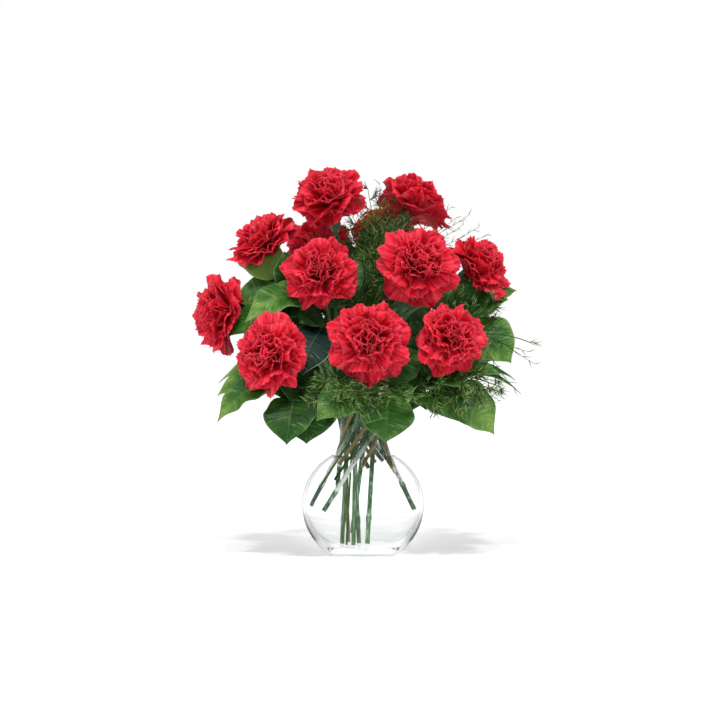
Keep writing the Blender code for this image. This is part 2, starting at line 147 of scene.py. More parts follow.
# further leaves, each after the number of its branch: the same as for the leaves above
SIDE_LEAVES = (
    (1, "e", 0.90, (-0.127, -0.012, 0.252), 0.038, 262, 30, 0.42),
    (1, "i", 0.90, (-0.123, 0.015, 0.266), 0.042, 262, 40, 0.60),
    (1, "j", 0.80, (-0.138, 0.020, 0.243), 0.036, 262, 30, 0.10),
    (1, "h", 0.85, (-0.086, -0.005, 0.258), 0.030, 265, 30, 0.10),
    (1, "f", 0.70, (-0.110, 0.070, 0.235), 0.044, 130, 30, 0.40),
    (1, "g", 0.50, (-0.122, 0.042, 0.175), 0.044, 150, 30, 0.50),
    (2, "c", 0.93, (-0.001, -0.020, 0.292), 0.034, 280, 20, 0.08),
    (2, "e", 0.60, (-0.011, -0.030, 0.236), 0.030, 275, 10, 0.05),
    (2, "f", 0.90, (-0.062, -0.050, 0.230), 0.032, 258, 20, 0.05),
    (2, "g", 0.95, (-0.135, -0.020, 0.217), 0.040, 258, 30, 0.20),
    (2, "h", 0.80, (-0.036, -0.040, 0.214), 0.034, 262, 15, 0.06),
    (2, "l", 0.90, (-0.070, -0.030, 0.232), 0.034, 262, 15, 0.05),
    (2, "k", 0.75, (-0.024, -0.035, 0.222), 0.034, 262, 15, 0.05),
    (2, "i", 0.92, (-0.048, -0.020, 0.250), 0.036, 265, 15, 0.03),
    (2, "j", 0.85, (-0.068, -0.030, 0.224), 0.036, 258, 20, 0.05),
    (3, "e", 0.90, (-0.029, -0.080, 0.155), 0.032, 265, 25, 0.10),
    (3, "f", 0.95, (-0.142, -0.034, 0.160), 0.034, 250, 40, 0.50),
    (3, "g", 0.75, (-0.070, -0.070, 0.156), 0.038, 262, 20, 0.08),
    (3, "h", 0.60, (-0.063, -0.040, 0.179), 0.038, 262, 15, 0.04),
    (3, "i", 0.50, (-0.087, -0.055, 0.162), 0.046, 262, 15, 0.05),
    (4, "d", 0.85, (0.055, -0.050, 0.203), 0.034, 290, 20, 0.12),
    (4, "e", 0.60, (-0.013, -0.055, 0.183), 0.034, 260, 20, 0.05),
    (4, "f", 0.95, (0.042, -0.095, 0.154), 0.030, 285, 30, 0.30),
    (4, "l", 0.70, (0.060, -0.050, 0.152), 0.044, 275, 15, 0.05),
    (4, "m", 0.80, (0.004, -0.055, 0.152), 0.040, 268, 15, 0.05),
    (4, "k", 0.85, (0.020, -0.050, 0.148), 0.044, 272, 15, 0.05),
    (4, "g", 0.75, (-0.006, -0.050, 0.150), 0.040, 268, 15, 0.05),
    (4, "h", 0.50, (0.014, -0.040, 0.190), 0.036, 272, 15, 0.04),
    (4, "i", 0.80, (-0.032, -0.060, 0.172), 0.036, 262, 15, 0.04),
    (4, "j", 0.90, (0.028, -0.060, 0.162), 0.036, 278, 15, 0.05),
    (5, "e", 0.80, (0.047, -0.040, 0.236), 0.030, 275, 10, 0.05),
    (5, "f", 0.90, (0.133, -0.050, 0.180), 0.030, 290, 45, 0.35),
    (5, "k", 0.85, (0.151, -0.012, 0.175), 0.013, 300, 50, 0.25),
    (5, "g", 0.70, (0.101, -0.080, 0.168), 0.034, 285, 40, 0.10),
    (5, "h", 0.80, (0.060, -0.070, 0.147), 0.034, 278, 20, 0.10),
    (5, "l", 0.60, (0.066, -0.010, 0.252), 0.036, 275, 15, 0.05),
    (5, "j", 0.50, (0.060, -0.030, 0.226), 0.036, 275, 15, 0.04),
    (5, "i", 0.60, (0.064, -0.050, 0.180), 0.036, 275, 20, 0.05),
    (6, "d", 0.95, (0.107, -0.005, 0.271), 0.030, 280, 40, 0.15),
    (6, "e", 0.80, (0.076, -0.010, 0.255), 0.032, 280, 20, 0.10),
    (6, "f", 0.85, (0.145, 0.000, 0.255), 0.030, 300, 45, 0.40),
    (6, "g", 0.70, (0.122, 0.072, 0.190), 0.044, 50, 30, 0.30),
    (6, "h", 0.50, (0.088, 0.090, 0.140), 0.046, 60, 30, 0.45),
    (6, "l", 0.90, (0.083, 0.000, 0.266), 0.036, 275, 25, 0.08),
    (6, "k", 0.75, (0.132, 0.010, 0.276), 0.036, 285, 35, 0.25),
    (6, "i", 0.60, (0.148, 0.004, 0.196), 0.036, 285, 45, 0.30),
    (6, "j", 0.45, (0.066, -0.010, 0.233), 0.042, 275, 15, 0.04),
    (7, "e", 0.95, (0.021, 0.020, 0.325), 0.034, 265, 25, 0.20),
    (7, "f", 0.90, (-0.018, 0.030, 0.317), 0.034, 265, 20, 0.05),
    (7, "l", 0.92, (0.031, 0.020, 0.347), 0.032, 270, 30, 0.05),
    (7, "m", 0.96, (0.011, 0.020, 0.340), 0.028, 262, 25, 0.04),
    (7, "o", 0.70, (-0.044, 0.005, 0.245), 0.040, 265, 10, 0.05),
    (7, "p", 0.60, (-0.042, 0.000, 0.230), 0.052, 265, 10, 0.05),
    (7, "g", 0.75, (0.039, 0.000, 0.265), 0.034, 275, 20, 0.10),
    (7, "h", 0.60, (-0.028, 0.000, 0.265), 0.034, 265, 10, 0.05),
    (7, "i", 0.95, (-0.020, 0.105, 0.285), 0.042, 100, 30, 0.20),
    (7, "j", 0.70, (0.090, 0.100, 0.268), 0.042, 70, 30, 0.30),
    (7, "k", 0.50, (-0.072, 0.096, 0.145), 0.046, 115, 30, 0.35),
)

# side sprays: fern, how far up its stalk they fork, tip, longest twig, twigs (none on a bare thread)
FERN_FORKS = (
    (1, 0.30, (-0.018, -0.005, 0.293), 0.028, 12),
    (1, 0.42, (0.049, 0.000, 0.317), 0.026, 12),
    (1, 0.22, (0.054, -0.030, 0.220), 0.028, 12),
    (1, 0.18, (-0.015, -0.030, 0.210), 0.026, 10),
    (1, 0.35, (0.029, -0.020, 0.304), 0.028, 12),
    (1, 0.80, (0.005, 0.000, 0.366), 0.016, 6),
    (1, 0.66, (-0.006, 0.010, 0.343), 0.022, 10),
    (1, 0.60, (0.034, 0.010, 0.353), 0.026, 12),
    (1, 0.62, (0.040, 0.000, 0.330), 0.026, 12),
    (1, 0.50, (0.118, 0.030, 0.331), 0.0, 0),
    (1, 0.58, (0.108, 0.030, 0.343), 0.0, 0),
    (1, 0.55, (0.102, 0.030, 0.333), 0.0, 0),
    (1, 0.60, (0.090, 0.030, 0.351), 0.0, 0),
    (1, 0.52, (0.105, 0.030, 0.311), 0.0, 0),
    (1, 0.56, (0.095, 0.030, 0.340), 0.0, 0),
    (1, 0.54, (0.128, 0.030, 0.323), 0.0, 0),
    (1, 0.80, (0.017, 0.010, 0.372), 0.0, 0),
    (1, 0.78, (0.026, 0.020, 0.365), 0.0, 0),
    (2, 0.45, (0.134, -0.030, 0.256), 0.022, 10),
    (2, 0.70, (0.169, -0.030, 0.191), 0.0, 0),
    (2, 0.62, (0.163, -0.030, 0.203), 0.0, 0),
    (2, 0.60, (0.148, -0.030, 0.168), 0.0, 0),
    (2, 0.50, (0.091, -0.020, 0.258), 0.024, 12),
    (3, 0.45, (-0.035, -0.092, 0.157), 0.024, 12),
    (3, 0.55, (0.046, -0.096, 0.162), 0.026, 12),
    (3, 0.70, (0.012, -0.104, 0.152), 0.022, 10),
    (3, 0.60, (-0.012, -0.100, 0.150), 0.022, 10),
    (4, 0.55, (0.066, -0.092, 0.156), 0.024, 12),
    (4, 0.75, (0.122, -0.084, 0.158), 0.020, 8),
    (4, 0.60, (0.093, -0.092, 0.152), 0.024, 12),
)

# lamps: name, azimuth and elevation, share of the full strength, width of the light in degrees
LAMPS = (
    ("lamp_front_left", 259, 57, 0.5, 4),
    ("lamp_front_right", 277, 57, 0.5, 4),
    ("lamp_left", 205, 40, 0.42, 60),
    ("lamp_right", 335, 40, 0.42, 60),
)

# rings of petals from the skirt to the heart: petals, angle of the first and the last to the bloom's axis,
# reach in bloom radii, and half the angle of each petal's fan, angles in degrees
RINGS = (
    (11, 97, 84, 1.02, 37),
    (9, 75, 54, 0.98, 31),
    (19, 47, 10, 0.93, 27),
    (3, 7, 2, 0.88, 42),
)

# outer petals that hang or stand out: bloom number, direction, reach in bloom radii, how far they drop,
# and half the angle of the fan that they all have
HANGING_FAN = 48
HANGING = (
    (1, (-1.0, -0.3, 0.0), 1.06, -0.004),
    (1, (1.0, -0.1, -0.3), 0.95, 0.002),
    (2, (0.9, -0.3, -0.3), 1.10, 0.016),
    (2, (1.0, -0.1, 0.4), 1.14, -0.006),
    (2, (-0.6, -0.8, -0.2), 1.00, 0.014),
    (3, (-1.0, -0.1, -0.10), 1.12, -0.008),
    (4, (0.0, -0.5, 1.0), 0.92, 0.004),
    (4, (0.6, -1.0, 0.2), 0.90, 0.004),
    (7, (-0.4, 0.0, -1.0), 1.04, 0.004),
    (8, (0.3, -0.5, -0.8), 1.12, 0.010),
    (8, (0.9, -0.6, 0.1), 1.12, -0.002),
    (8, (-0.8, -0.5, 0.2), 1.08, -0.002),
    (9, (-0.8, 0.0, -0.5), 1.04, 0.000),
    (10, (0.15, 0.0, -1.0), 1.12, 0.002),
    (10, (1.0, 0.0, 0.2), 1.06, 0.000),
    (10, (-0.1, 0.0, 1.0), 0.97, 0.003),
    (10, (-0.8, 0.0, -0.7), 1.10, 0.000),
    (11, (0.0, -0.1, 1.0), 0.96, 0.003),
)


# ---- directions and paths


def heading(azimuth, tilt):
    """The direction at an azimuth from +X and a tilt above the horizontal, both in degrees."""
    a, t = math.radians(azimuth), math.radians(tilt)
    return Vector((math.cos(t) * math.cos(a), math.cos(t) * math.sin(a), math.sin(t)))


def neck_line(stems, ring, place, thickness):
    """A point at the waist of the neck and the direction up the stem that passes through it."""
    touch = stems.neck_room - thickness
    lean = stems.outer_slope * stems.waist_drop
    radius, slope, centre = {
        "outer": (math.sqrt(touch ** 2 - lean ** 2), stems.outer_slope, 0.0),
        "bundle": (0.0056, 0.06, -0.0125),
        "middle": (0.0045, 0.38, 0.0065),
    }[ring]
    a = math.radians(place)
    start = Vector((centre + radius * math.cos(a), radius * math.sin(a), stems.waist))
    return start, Vector((-slope * math.sin(a), slope * math.cos(a), 1.0))


def growth(stems, ring, place, thickness, end, arrival, steps):
    """The way a stem takes from the top of the neck to its end."""
    start, climb = neck_line(stems, ring, place, thickness)
    leave = start + climb * stems.exit_rise
    span = (end - leave).length * stems.bend
    out = leave + climb.normalized() * span
    return [Vector(p) for p in geometry.interpolate_bezier(leave, out, end - arrival * span, end, steps)]


def branch_rise(stems, row):
    """The way of a leafy branch above the neck, from its row of the table."""
    _, ring, place, end, azimuth, tilt, _ = row
    return growth(stems, ring, place, stems.branch, Vector(end), heading(azimuth, tilt), 10)


def cut_end(node):
    """The middle of a frame stem's lower end."""
    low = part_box(node)[0].z
    ends = [v.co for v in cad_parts[node].data.vertices if v.co.z < low + 0.006]
    return sum(ends, Vector()) / len(ends)


def evenly(path, spacing):
    """The path again, with points at most this far apart."""
    result = [path[0]]
    for low, high in zip(path, path[1:]):
        parts = max(1, math.ceil((high - low).length / spacing))
        result += [low.lerp(high, k / parts) for k in range(1, parts + 1)]
    return result


def distances(path):
    """How far along the path each of its points lies."""
    result = [0.0]
    for low, high in zip(path, path[1:]):
        result.append(result[-1] + (high - low).length)
    return result


def swollen(travelled, places, height, reach):
    """A factor for the thickness at each point, larger near some places along the way."""
    result = []
    for far in travelled:
        near = min(abs(far - place) for place in places)
        result.append(1.0 + height * math.exp(-((near / reach) ** 2)))
    return result


def along_path(path, share):
    """The point at a share of the path's steps, and the direction there."""
    last = len(path) - 1
    place = share * last
    low = min(int(place), last - 1)
    return path[low].lerp(path[low + 1], place - low), (path[low + 1] - path[low]).normalized()


def curved(start, middle, end, t):
    """A point of a curve that leaves its start toward the middle and arrives at its end from there."""
    return start * (1 - t) ** 2 + middle * 2 * t * (1 - t) + end * t * t


def turned(axis, angle):
    """A direction square to the axis, at an angle round it."""
    out = axis.orthogonal().normalized()
    out.rotate(Quaternion(axis, angle))
    return out


def square_to(axis, way):
    """The direction square to the axis that is nearest to a way."""
    return (way - axis * way.dot(axis)).normalized()


def thinning(count, first, loss):
    """Radii that lose the same from each point to the next."""
    return [first - loss * k for k in range(count)]


# ---- modelling steps


def deselect():
    if bpy.context.object and bpy.context.object.mode != "OBJECT":
        bpy.ops.object.mode_set(mode="OBJECT")
    bpy.ops.object.select_all(action="DESELECT")


def pick(thing):
    deselect()
    bpy.context.view_layer.objects.active = thing
    thing.select_set(True)


def put(name, data):
    """A new object with this data, as the active and the only selected one."""
    thing = bpy.data.objects.new(name, data)
    bpy.context.scene.collection.objects.link(thing)
    pick(thing)
    return thing


def close_up(merge):
    """Merges the points of the mesh being edited, turns its faces outwards and leaves edit mode."""
    bpy.ops.mesh.select_all(action="SELECT")
    bpy.ops.mesh.remove_doubles(threshold=merge)
    bpy.ops.mesh.normals_make_consistent(inside=False)
    bpy.ops.object.mode_set(mode="OBJECT")


def join(name, things):
    """Joins the things into one piece with this name."""
    deselect()
    for thing in things:
        thing.select_set(True)
    bpy.context.view_layer.objects.active = things[0]
    if len(things) > 1:
        bpy.ops.object.join()
    piece = bpy.context.object
    piece.name = name
    piece.data.name = name
    return piece


def point_marks(thing, label):
    """A new number at each point of a mesh."""
    return thing.data.attributes.new(label, "FLOAT", "POINT").data


def rods(name, lines, material, sides):
    """Round rods along lines of points, each with its radius at every point, as one mesh."""
    curve = bpy.data.curves.new(name, "CURVE")
    curve.dimensions = "3D"
    curve.bevel_depth = 1.0
    curve.bevel_resolution = sides
    curve.use_fill_caps = True
    for points, radii in lines:
        spline = curve.splines.new("POLY")
        spline.points.add(len(points) - 1)
        for k, (point, radius) in enumerate(zip(points, radii)):
            spline.points[k].co = (*point, 1.0)
            spline.points[k].radius = radius
    curve.materials.append(material)
    put(name, curve)
    bpy.ops.object.convert(target="MESH")
    bpy.ops.object.mode_set(mode="EDIT")
    close_up(0.000002)
    bpy.ops.object.shade_smooth_by_angle(angle=math.radians(50))
    return bpy.context.object


def open_sheets(name):
    """Starts an empty piece in edit mode, to which sheets are added."""
    thing = put(name, bpy.data.meshes.new(name))
    thing.data.uv_layers.new(name="UVMap")
    bpy.ops.object.mode_set(mode="EDIT")
    return thing


def add_sheet(columns, rows, place, label, **marks):
    """Adds a grid to the piece being edited.

    Each point (across -1..1, along 0..1) gets a place and a mark. The further marks are the same all over.
    """
    bpy.ops.mesh.select_all(action="DESELECT")
    bpy.ops.mesh.primitive_grid_add(x_subdivisions=columns, y_subdivisions=rows, size=1, calc_uvs=True)
    mesh = bmesh.from_edit_mesh(bpy.context.object.data)
    layers = mesh.verts.layers.float
    for key in (label, *marks):
        if not layers.get(key):
            layers.new(key)
    for vert in mesh.verts:
        if vert.select:
            vert.co, marks[label] = place(vert.co.x * 2, vert.co.y + 0.5)
            for key, value in marks.items():
                vert[layers[key]] = value
    bmesh.update_edit_mesh(bpy.context.object.data)


def close_sheets(thing, materials, thickness):
    """Leaves edit mode and gives the sheets their thickness, their last material on the side beneath."""
    bpy.ops.object.mode_set(mode="OBJECT")
    for material in materials:
        thing.data.materials.append(material)
    pick(thing)
    solid = thing.modifiers.new("solidify", "SOLIDIFY")
    solid.thickness = thickness
    solid.offset = 0.0
    solid.use_quality_normals = False
    solid.material_offset = len(materials) - 1
    solid.material_offset_rim = 0
    bpy.ops.object.modifier_apply(modifier=solid.name)
    bpy.ops.object.shade_smooth()


def finish_piece(piece, slot, *nodes):
    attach(piece, "root")
    if nodes:
        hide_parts(*nodes)


# ---- finishes


class Nodes:
    """A tree of shader nodes under construction, laid out in rows."""

    def __init__(self, tree):
        self.tree = tree
        self.count = 0

    def add(self, kind, settings=None, **inputs):
        """Adds a node, sets its settings, and fills or links its inputs by name."""
        node = self.tree.nodes.new("ShaderNode" + kind)
        self.count += 1
        node.location = (-1700 + 170 * (self.count % 9), 300 - 190 * (self.count // 9))
        for key, value in (settings or {}).items():
            setattr(node, key, value)
        for key, value in inputs.items():
            self.fill(node.inputs[key.replace("_", " ")], value)
        return node

    def fill(self, socket, value):
        if isinstance(value, bpy.types.NodeSocket):
            self.tree.links.new(value, socket)
        elif socket.type == "RGBA":
            socket.default_value = (*value, 1.0)
        else:
            socket.default_value = value

    def math(self, operation, a, b=0.0, c=0.0):
        node = self.add("Math", {"operation": operation})
        for socket, value in zip(node.inputs, (a, b, c)):
            self.fill(socket, value)
        return node.outputs[0]

    def scaled(self, value, by, plus=0.0):
        return self.math("MULTIPLY_ADD", value, by, plus)

    def larger(self, a, b):
        return self.math("MAXIMUM", a, b)

    def shaders(self, factor, first, second, output):
        """Two shaders, mixed, as what the tree gives out."""
        both = self.add("MixShader")
        for socket, value in zip(both.inputs, (factor, first.outputs[0], second.outputs[0])):
            self.fill(socket, value)
        self.fill(self.tree.nodes[output].inputs["Surface"], both.outputs[0])


class Finish(Nodes):
    """A material under construction."""

    def __init__(self, name):
        self.material = bpy.data.materials.new(name)
        self.material.use_nodes = True
        super().__init__(self.material.node_tree)
        self.shader = self.tree.nodes["Principled BSDF"]

    def mix(self, factor, a, b):
        """A colour that goes from a to b."""
        node = self.add("Mix", {"data_type": "RGBA"})
        for socket, value in ((node.inputs[0], factor), (node.inputs[6], a), (node.inputs[7], b)):
            self.fill(socket, value)
        return node.outputs[2]

    def step(self, value, low, high, full=1.0):
        """A smooth step from 0 at low to its full height at high, which may be the lower of the two."""
        first, last = (0.0, full) if low < high else (full, 0.0)
        ends = {"From_Min": min(low, high), "From_Max": max(low, high), "To_Min": first, "To_Max": last}
        return self.add("MapRange", {"interpolation_type": "SMOOTHSTEP"}, Value=value, **ends).outputs[0]

    def place(self, **mapping):
        """Object coordinates, moved or stretched where a mapping is given."""
        place = self.add("TexCoord").outputs["Object"]
        return self.add("Mapping", Vector=place, **mapping).outputs[0] if mapping else place

    def height(self):
        return self.add("SeparateXYZ", Vector=self.place()).outputs[2]

    def noise(self, scale, detail, vector=None):
        vector = vector or self.place()
        return self.add("TexNoise", Vector=vector, Scale=scale, Detail=detail).outputs["Fac"]

    def streaks(self, across, along, other):
        """Streaks that run where the second value changes slowly, broken up by a third."""
        return self.noise(1.0, 2.0, self.add("CombineXYZ", X=across, Y=along, Z=other).outputs[0])

    def attribute(self, name):
        return self.add("Attribute", {"attribute_name": name}).outputs["Fac"]

    def sheet_place(self):
        """How far across and how far along its sheet a point lies, both 0..1."""
        parts = self.add("SeparateXYZ", Vector=self.add("UVMap", {"uv_map": "UVMap"}).outputs[0])
        return parts.outputs[0], parts.outputs[1]

    def bump(self, height, strength, distance):
        node = self.add("Bump", Height=height, Strength=strength, Distance=distance)
        self.set(Normal=node.outputs[0])

    def set(self, **inputs):
        for key, value in inputs.items():
            self.fill(self.shader.inputs[key.replace("_", " ")], value)


def petal_finish(paints):
    """Velvety petals with painted shade in the folds and deep in the bloom, and painted highlight along the
    crests, the pleats and the toothed margin.
    """
    f = Finish("petal")
    across, along = f.sheet_place()
    mottle = f.noise(90.0, 4.0)
    streaks = f.streaks(f.scaled(across, 22.0), f.scaled(along, 1.4), mottle)
    # painted highlight along the toothed margin, stronger toward the heart of the bloom
    rim = f.scaled(f.step(along, 0.95, 1.0), f.scaled(f.attribute("heart"), 0.34, 0.10))
    # painted shade in the valleys of the ruffles and painted highlight on their crests, from each ruffle's
    # height
    base = f.mix(f.step(f.attribute("fold"), -0.9, 0.9), paints.petal_deep, paints.petal)
    base = f.mix(f.step(mottle, 0.35, 0.75, 0.35), base, paints.petal_bright)
    # darker radial streaks: painted shade of the pleats
    base = f.mix(f.step(streaks, 0.54, 0.38, 0.85), base, paints.petal_shade)
    # paler radial streaks: painted highlight along the pleats
    base = f.mix(f.step(streaks, 0.54, 0.66, 0.60), base, paints.petal_highlight)
    base = f.mix(f.scaled(f.attribute("tint"), 0.4), base, paints.petal_deep)
    base = f.mix(rim, base, paints.petal_highlight)
    # painted shade deep in the bloom, toward the foot of each petal
    base = f.mix(f.step(along, 0.70, 0.15, 0.7), base, paints.petal_shade)
    f.set(Base_Color=base, Roughness=f.scaled(mottle, 0.2, 0.45), Specular_IOR_Level=0.15)
    f.set(Sheen_Weight=0.05, Sheen_Roughness=0.5, Sheen_Tint=(1.0, 0.45, 0.5))
    f.bump(f.scaled(mottle, 0.2, streaks), 0.9, 0.0020)
    return f.material


def leaf_finish(paints, under):
    """A leathery leaf: glossy above with sunken pale veins, matt and paler beneath; above, painted shade
    toward its foot, painted glints and a pale margin that is partly painted highlight.
    """
    f = Finish("leaf_underside" if under else "leaf_upper_side")
    across, along = f.sheet_place()
    side = f.math("ABSOLUTE", f.scaled(across, 2.0, -1.0))
    age = f.attribute("age")
    cool = f.larger(f.scaled(age, -1.0), 0.0)
    rise = f.math("SUBTRACT", along, f.scaled(f.math("POWER", side, 1.3), 0.17))
    off = f.math("ABSOLUTE", f.math("SUBTRACT", f.math("FRACT", f.scaled(rise, 9.0)), 0.5))
    vein = f.scaled(f.step(off, 0.10, 0.0, 0.25), f.step(side, 0.97, 0.7))
    midrib = f.scaled(f.step(side, 0.07, 0.01), f.scaled(along, -0.35, 0.65))
    lines = f.larger(vein, midrib)
    mottle = f.noise(55.0, 5.0)
    flow = f.streaks(f.scaled(across, 3.0), f.scaled(rise, 30.0), mottle)
    # young is the leaf's age plus its own uneven tone, and it rises toward the tip as painted shade toward
    # the leaf's foot, deep in the bouquet
    young = f.math("SUBTRACT", f.larger(age, 0.0), 0.169)
    for value, *rise_to in (
        (along, 0.3, 1.0, 0.26),
        (side, 0.5, 1.0, 0.08),
        (mottle, 0.38, 0.68, 0.30),
        (flow, 0.40, 0.65, 0.16),
    ):
        young = f.math("ADD", young, f.step(value, *rise_to))
    old, middle, fresh = paints.leaf_deep, paints.leaf_middle, paints.leaf_fresh
    if under:
        old = middle = fresh = paints.leaf_back
    base = f.mix(f.scaled(young, 2.0), old, middle)
    base = f.mix(f.scaled(young, 2.0, -1.0), base, fresh)
    base = f.mix(cool, base, paints.leaf_cool)
    base = f.mix(f.scaled(lines, 0.20), base, paints.leaf_vein)
    # a pale margin, partly the leaf's own and partly painted highlight, much stronger as painted highlight
    # on bluish leaves
    base = f.mix(f.scaled(f.step(side, 0.92, 0.98), f.scaled(cool, 0.75, 0.14)), base, paints.leaf_margin_and_gleam)
    # painted glints in streaks toward the tip of the upper side
    gleam = f.scaled(f.step(along, 0.25, 0.95), f.step(flow, 0.55, 0.72, 0.0 if under else 0.28))
    f.set(Base_Color=f.mix(gleam, base, paints.leaf_margin_and_gleam), Specular_IOR_Level=0.1 if under else 0.20)
    f.set(Roughness=f.scaled(mottle, 0.25, 0.5 if under else 0.3))
    cells = f.add("TexVoronoi", {"feature": "DISTANCE_TO_EDGE"}, Vector=f.place(), Scale=900.0)
    relief = f.scaled(lines, 1.0 if under else -1.0)
    relief = f.scaled(f.step(cells.outputs["Distance"], 0.0, 0.02), 0.12, relief)
    f.bump(relief, 0.5 if under else 0.6, 0.0007)
    return f.material


def stem_finish(paints):
    """A smooth blue-green stem with a waxy bloom and streaks, pale or deep green where marked, and painted
    highlight streaks low down inside the vase.
    """
    f = Finish("waxy_stem")
    streak = f.noise(420.0, 3.0, f.place(Scale=(1.0, 1.0, 0.12)))
    patch = f.noise(45.0, 3.0)
    wax = f.attribute("wax")
    base = f.mix(f.step(patch, 0.35, 0.7), paints.stem, paints.stem_wax)
    base = f.mix(f.larger(wax, 0.0), base, paints.stem_pale)
    base = f.mix(f.larger(f.scaled(wax, -1.0), 0.0), base, paints.stem_deep)
    base = f.mix(f.step(streak, 0.50, 0.64, 0.70), base, paints.stem_deep)
    # painted highlight: pale streaks on the stems low down, inside the vase
    gleam = f.scaled(f.step(streak, 0.47, 0.32), f.step(f.height(), 0.17, 0.13, 0.45))
    base = f.mix(gleam, base, paints.stem_pale)
    f.set(Base_Color=base, Roughness=f.scaled(patch, 0.25, 0.35), Specular_IOR_Level=0.25)
    f.bump(streak, 0.2, 0.0003)
    return f.material


def cut_finish(paints):
    """The pale wet pith of a cut stem, with its fibres."""
    f = Finish("cut_pith")
    grain = f.noise(900.0, 2.0)
    base = f.mix(f.step(grain, 0.35, 0.65), paints.pith, paints.stem_wax)
    f.set(Base_Color=base, Roughness=f.scaled(grain, 0.2, 0.3))
    f.bump(grain, 0.3, 0.0002)
    return f.material


def bark_finish(paints):
    """Young bark, brown at the foot and olive toward the tips, with small pale pores."""
    f = Finish("young_bark")
    streak = f.noise(300.0, 4.0, f.place(Scale=(1.0, 1.0, 0.15)))
    pores = f.add("TexVoronoi", Vector=f.place(), Scale=330.0).outputs["Distance"]
    base = f.mix(f.step(f.height(), 0.06, 0.22), paints.bark, paints.bark_young)
    base = f.mix(f.step(streak, 0.4, 0.8, 0.5), base, paints.bark_pale)
    base = f.mix(f.step(pores, 0.16, 0.05, 0.7), base, paints.bark_pale)
    f.set(Base_Color=base, Roughness=f.scaled(streak, 0.2, 0.5), Specular_IOR_Level=0.2)
    f.bump(streak, 0.4, 0.0004)
    return f.material


def fern_finish(paints):
    """Matt feathery green, paler toward the tips of the needles and brown at the top of the bunch."""
    f = Finish("fern_needles")
    patch = f.noise(60.0, 2.0)
    base = f.mix(f.step(patch, 0.3, 0.7), paints.fern_deep, paints.fern)
    base = f.mix(f.attribute("tip"), base, paints.fern_pale)
    base = f.mix(f.step(f.height(), 0.315, 0.350, 0.45), base, paints.fern_brown)
    f.set(Base_Color=base, Roughness=f.scaled(patch, 0.2, 0.5), Specular_IOR_Level=0.1)
    return f.material


def glass_finish(paints):
    """Clear glass that lets light through to what is behind it, with painted dark reflection along its
    edge: a grey tint and a thin dark line round it.
    """
    f = Finish("clear_glass_wall")
    facing = f.add("LayerWeight", Blend=0.5).outputs["Facing"]
    shadow = f.add("LightPath").outputs["Is Shadow Ray"]
    # painted dark reflection: the glass turns grey where it is seen at a grazing angle
    f.set(Base_Color=f.mix(f.step(facing, 0.60, 0.97), paints.glass, paints.glass_edge))
    f.set(Roughness=0.0, IOR=1.19, Transmission_Weight=1.0)
    f.bump(f.noise(14.0, 1.0), 0.06, 0.002)
    # shadow rays pass nearly clear; other rays at the very edge partly pass through dark grey, the painted
    # thin line
    clear = f.add("BsdfTransparent", Color=f.mix(shadow, paints.glass_rim, (0.985, 0.99, 0.99)))
    f.shaders(f.larger(shadow, f.step(facing, 0.76, 0.96, 0.35)), f.shader, clear, "Material Output")
    return f.material


def floor_finish(paints):
    """Pale paper with painted light: it glows a little all over, which lightens the shadows cast on it, and
    more behind the vase, a painted pool of light where the glass would gather it.
    """
    f = Finish("studio_paper")
    behind = f.place(Location=(0.0, -0.75, 0.0), Scale=(11.0, 4.5, 1.0))
    gathered = f.add("TexGradient", {"gradient_type": "SPHERICAL"}, Vector=behind).outputs["Fac"]
    # painted light: the even glow, and the painted pool of light behind the vase
    glow = f.scaled(f.step(gathered, 0.0, 0.6), paints.pool, paints.glow)
    base = f.mix(f.scaled(f.noise(30.0, 3.0), 0.03), paints.floor, (0.5, 0.5, 0.5))
    f.set(Base_Color=base, Roughness=0.9, Specular_IOR_Level=0.1)
    f.set(Emission_Color=paints.floor, Emission_Strength=glow)
    return f.material


# ---- settings


def amount(name, description, default, **limits):
    return FloatProperty(name=name, description=description, default=default, **limits)


def size(name, description, default):
    return amount(name, description, default, min=0.0, unit="LENGTH", subtype="DISTANCE")


def part_of(name, description, default):
    return amount(name, description, default, subtype="FACTOR")


def paint(name, description, default):
    told = {"name": name, "description": description, "default": default}
    return FloatVectorProperty(**told, min=0.0, max=1.0, subtype="COLOR")


class VaseSettings(bpy.types.PropertyGroup):
    globe: size("Globe radius", "Radius of the globe at its widest", 0.061)
    middle: size("Globe height", "Height of the widest part", 0.051)
    rise: size("Upper half", "Half height of the globe above its widest part", 0.057)
    drop: size("Lower half", "Half height of the globe below its widest part", 0.060)
    neck: size("Neck radius", "Radius of the neck", 0.0315)
    neck_foot: size("Neck foot", "Height at which the globe becomes the neck", 0.100)
    rim: size("Rim radius", "Radius of the turned-out rim", 0.0355)
    height: size("Height", "Height of the rim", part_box("glass_vase")[1].z)
    flare: size("Flare", "Height over which the neck turns out to the rim", 0.010)
    wall: size("Wall", "Thickness of the glass", 0.003)
    floor: size("Floor", "Thickness of the base", 0.008)
    glass: paint("Glass", "Tint of the glass", (0.985, 0.995, 0.992))
    # painted dark reflection along the edge of the glass, and the grey of its painted line
    glass_edge: paint("Glass edge", "Tint of the glass seen along its wall", (0.360, 0.390, 0.400))
    glass_rim: paint("Glass rim", "Grey of the thin dark line round the glass", (0.130, 0.140, 0.150))


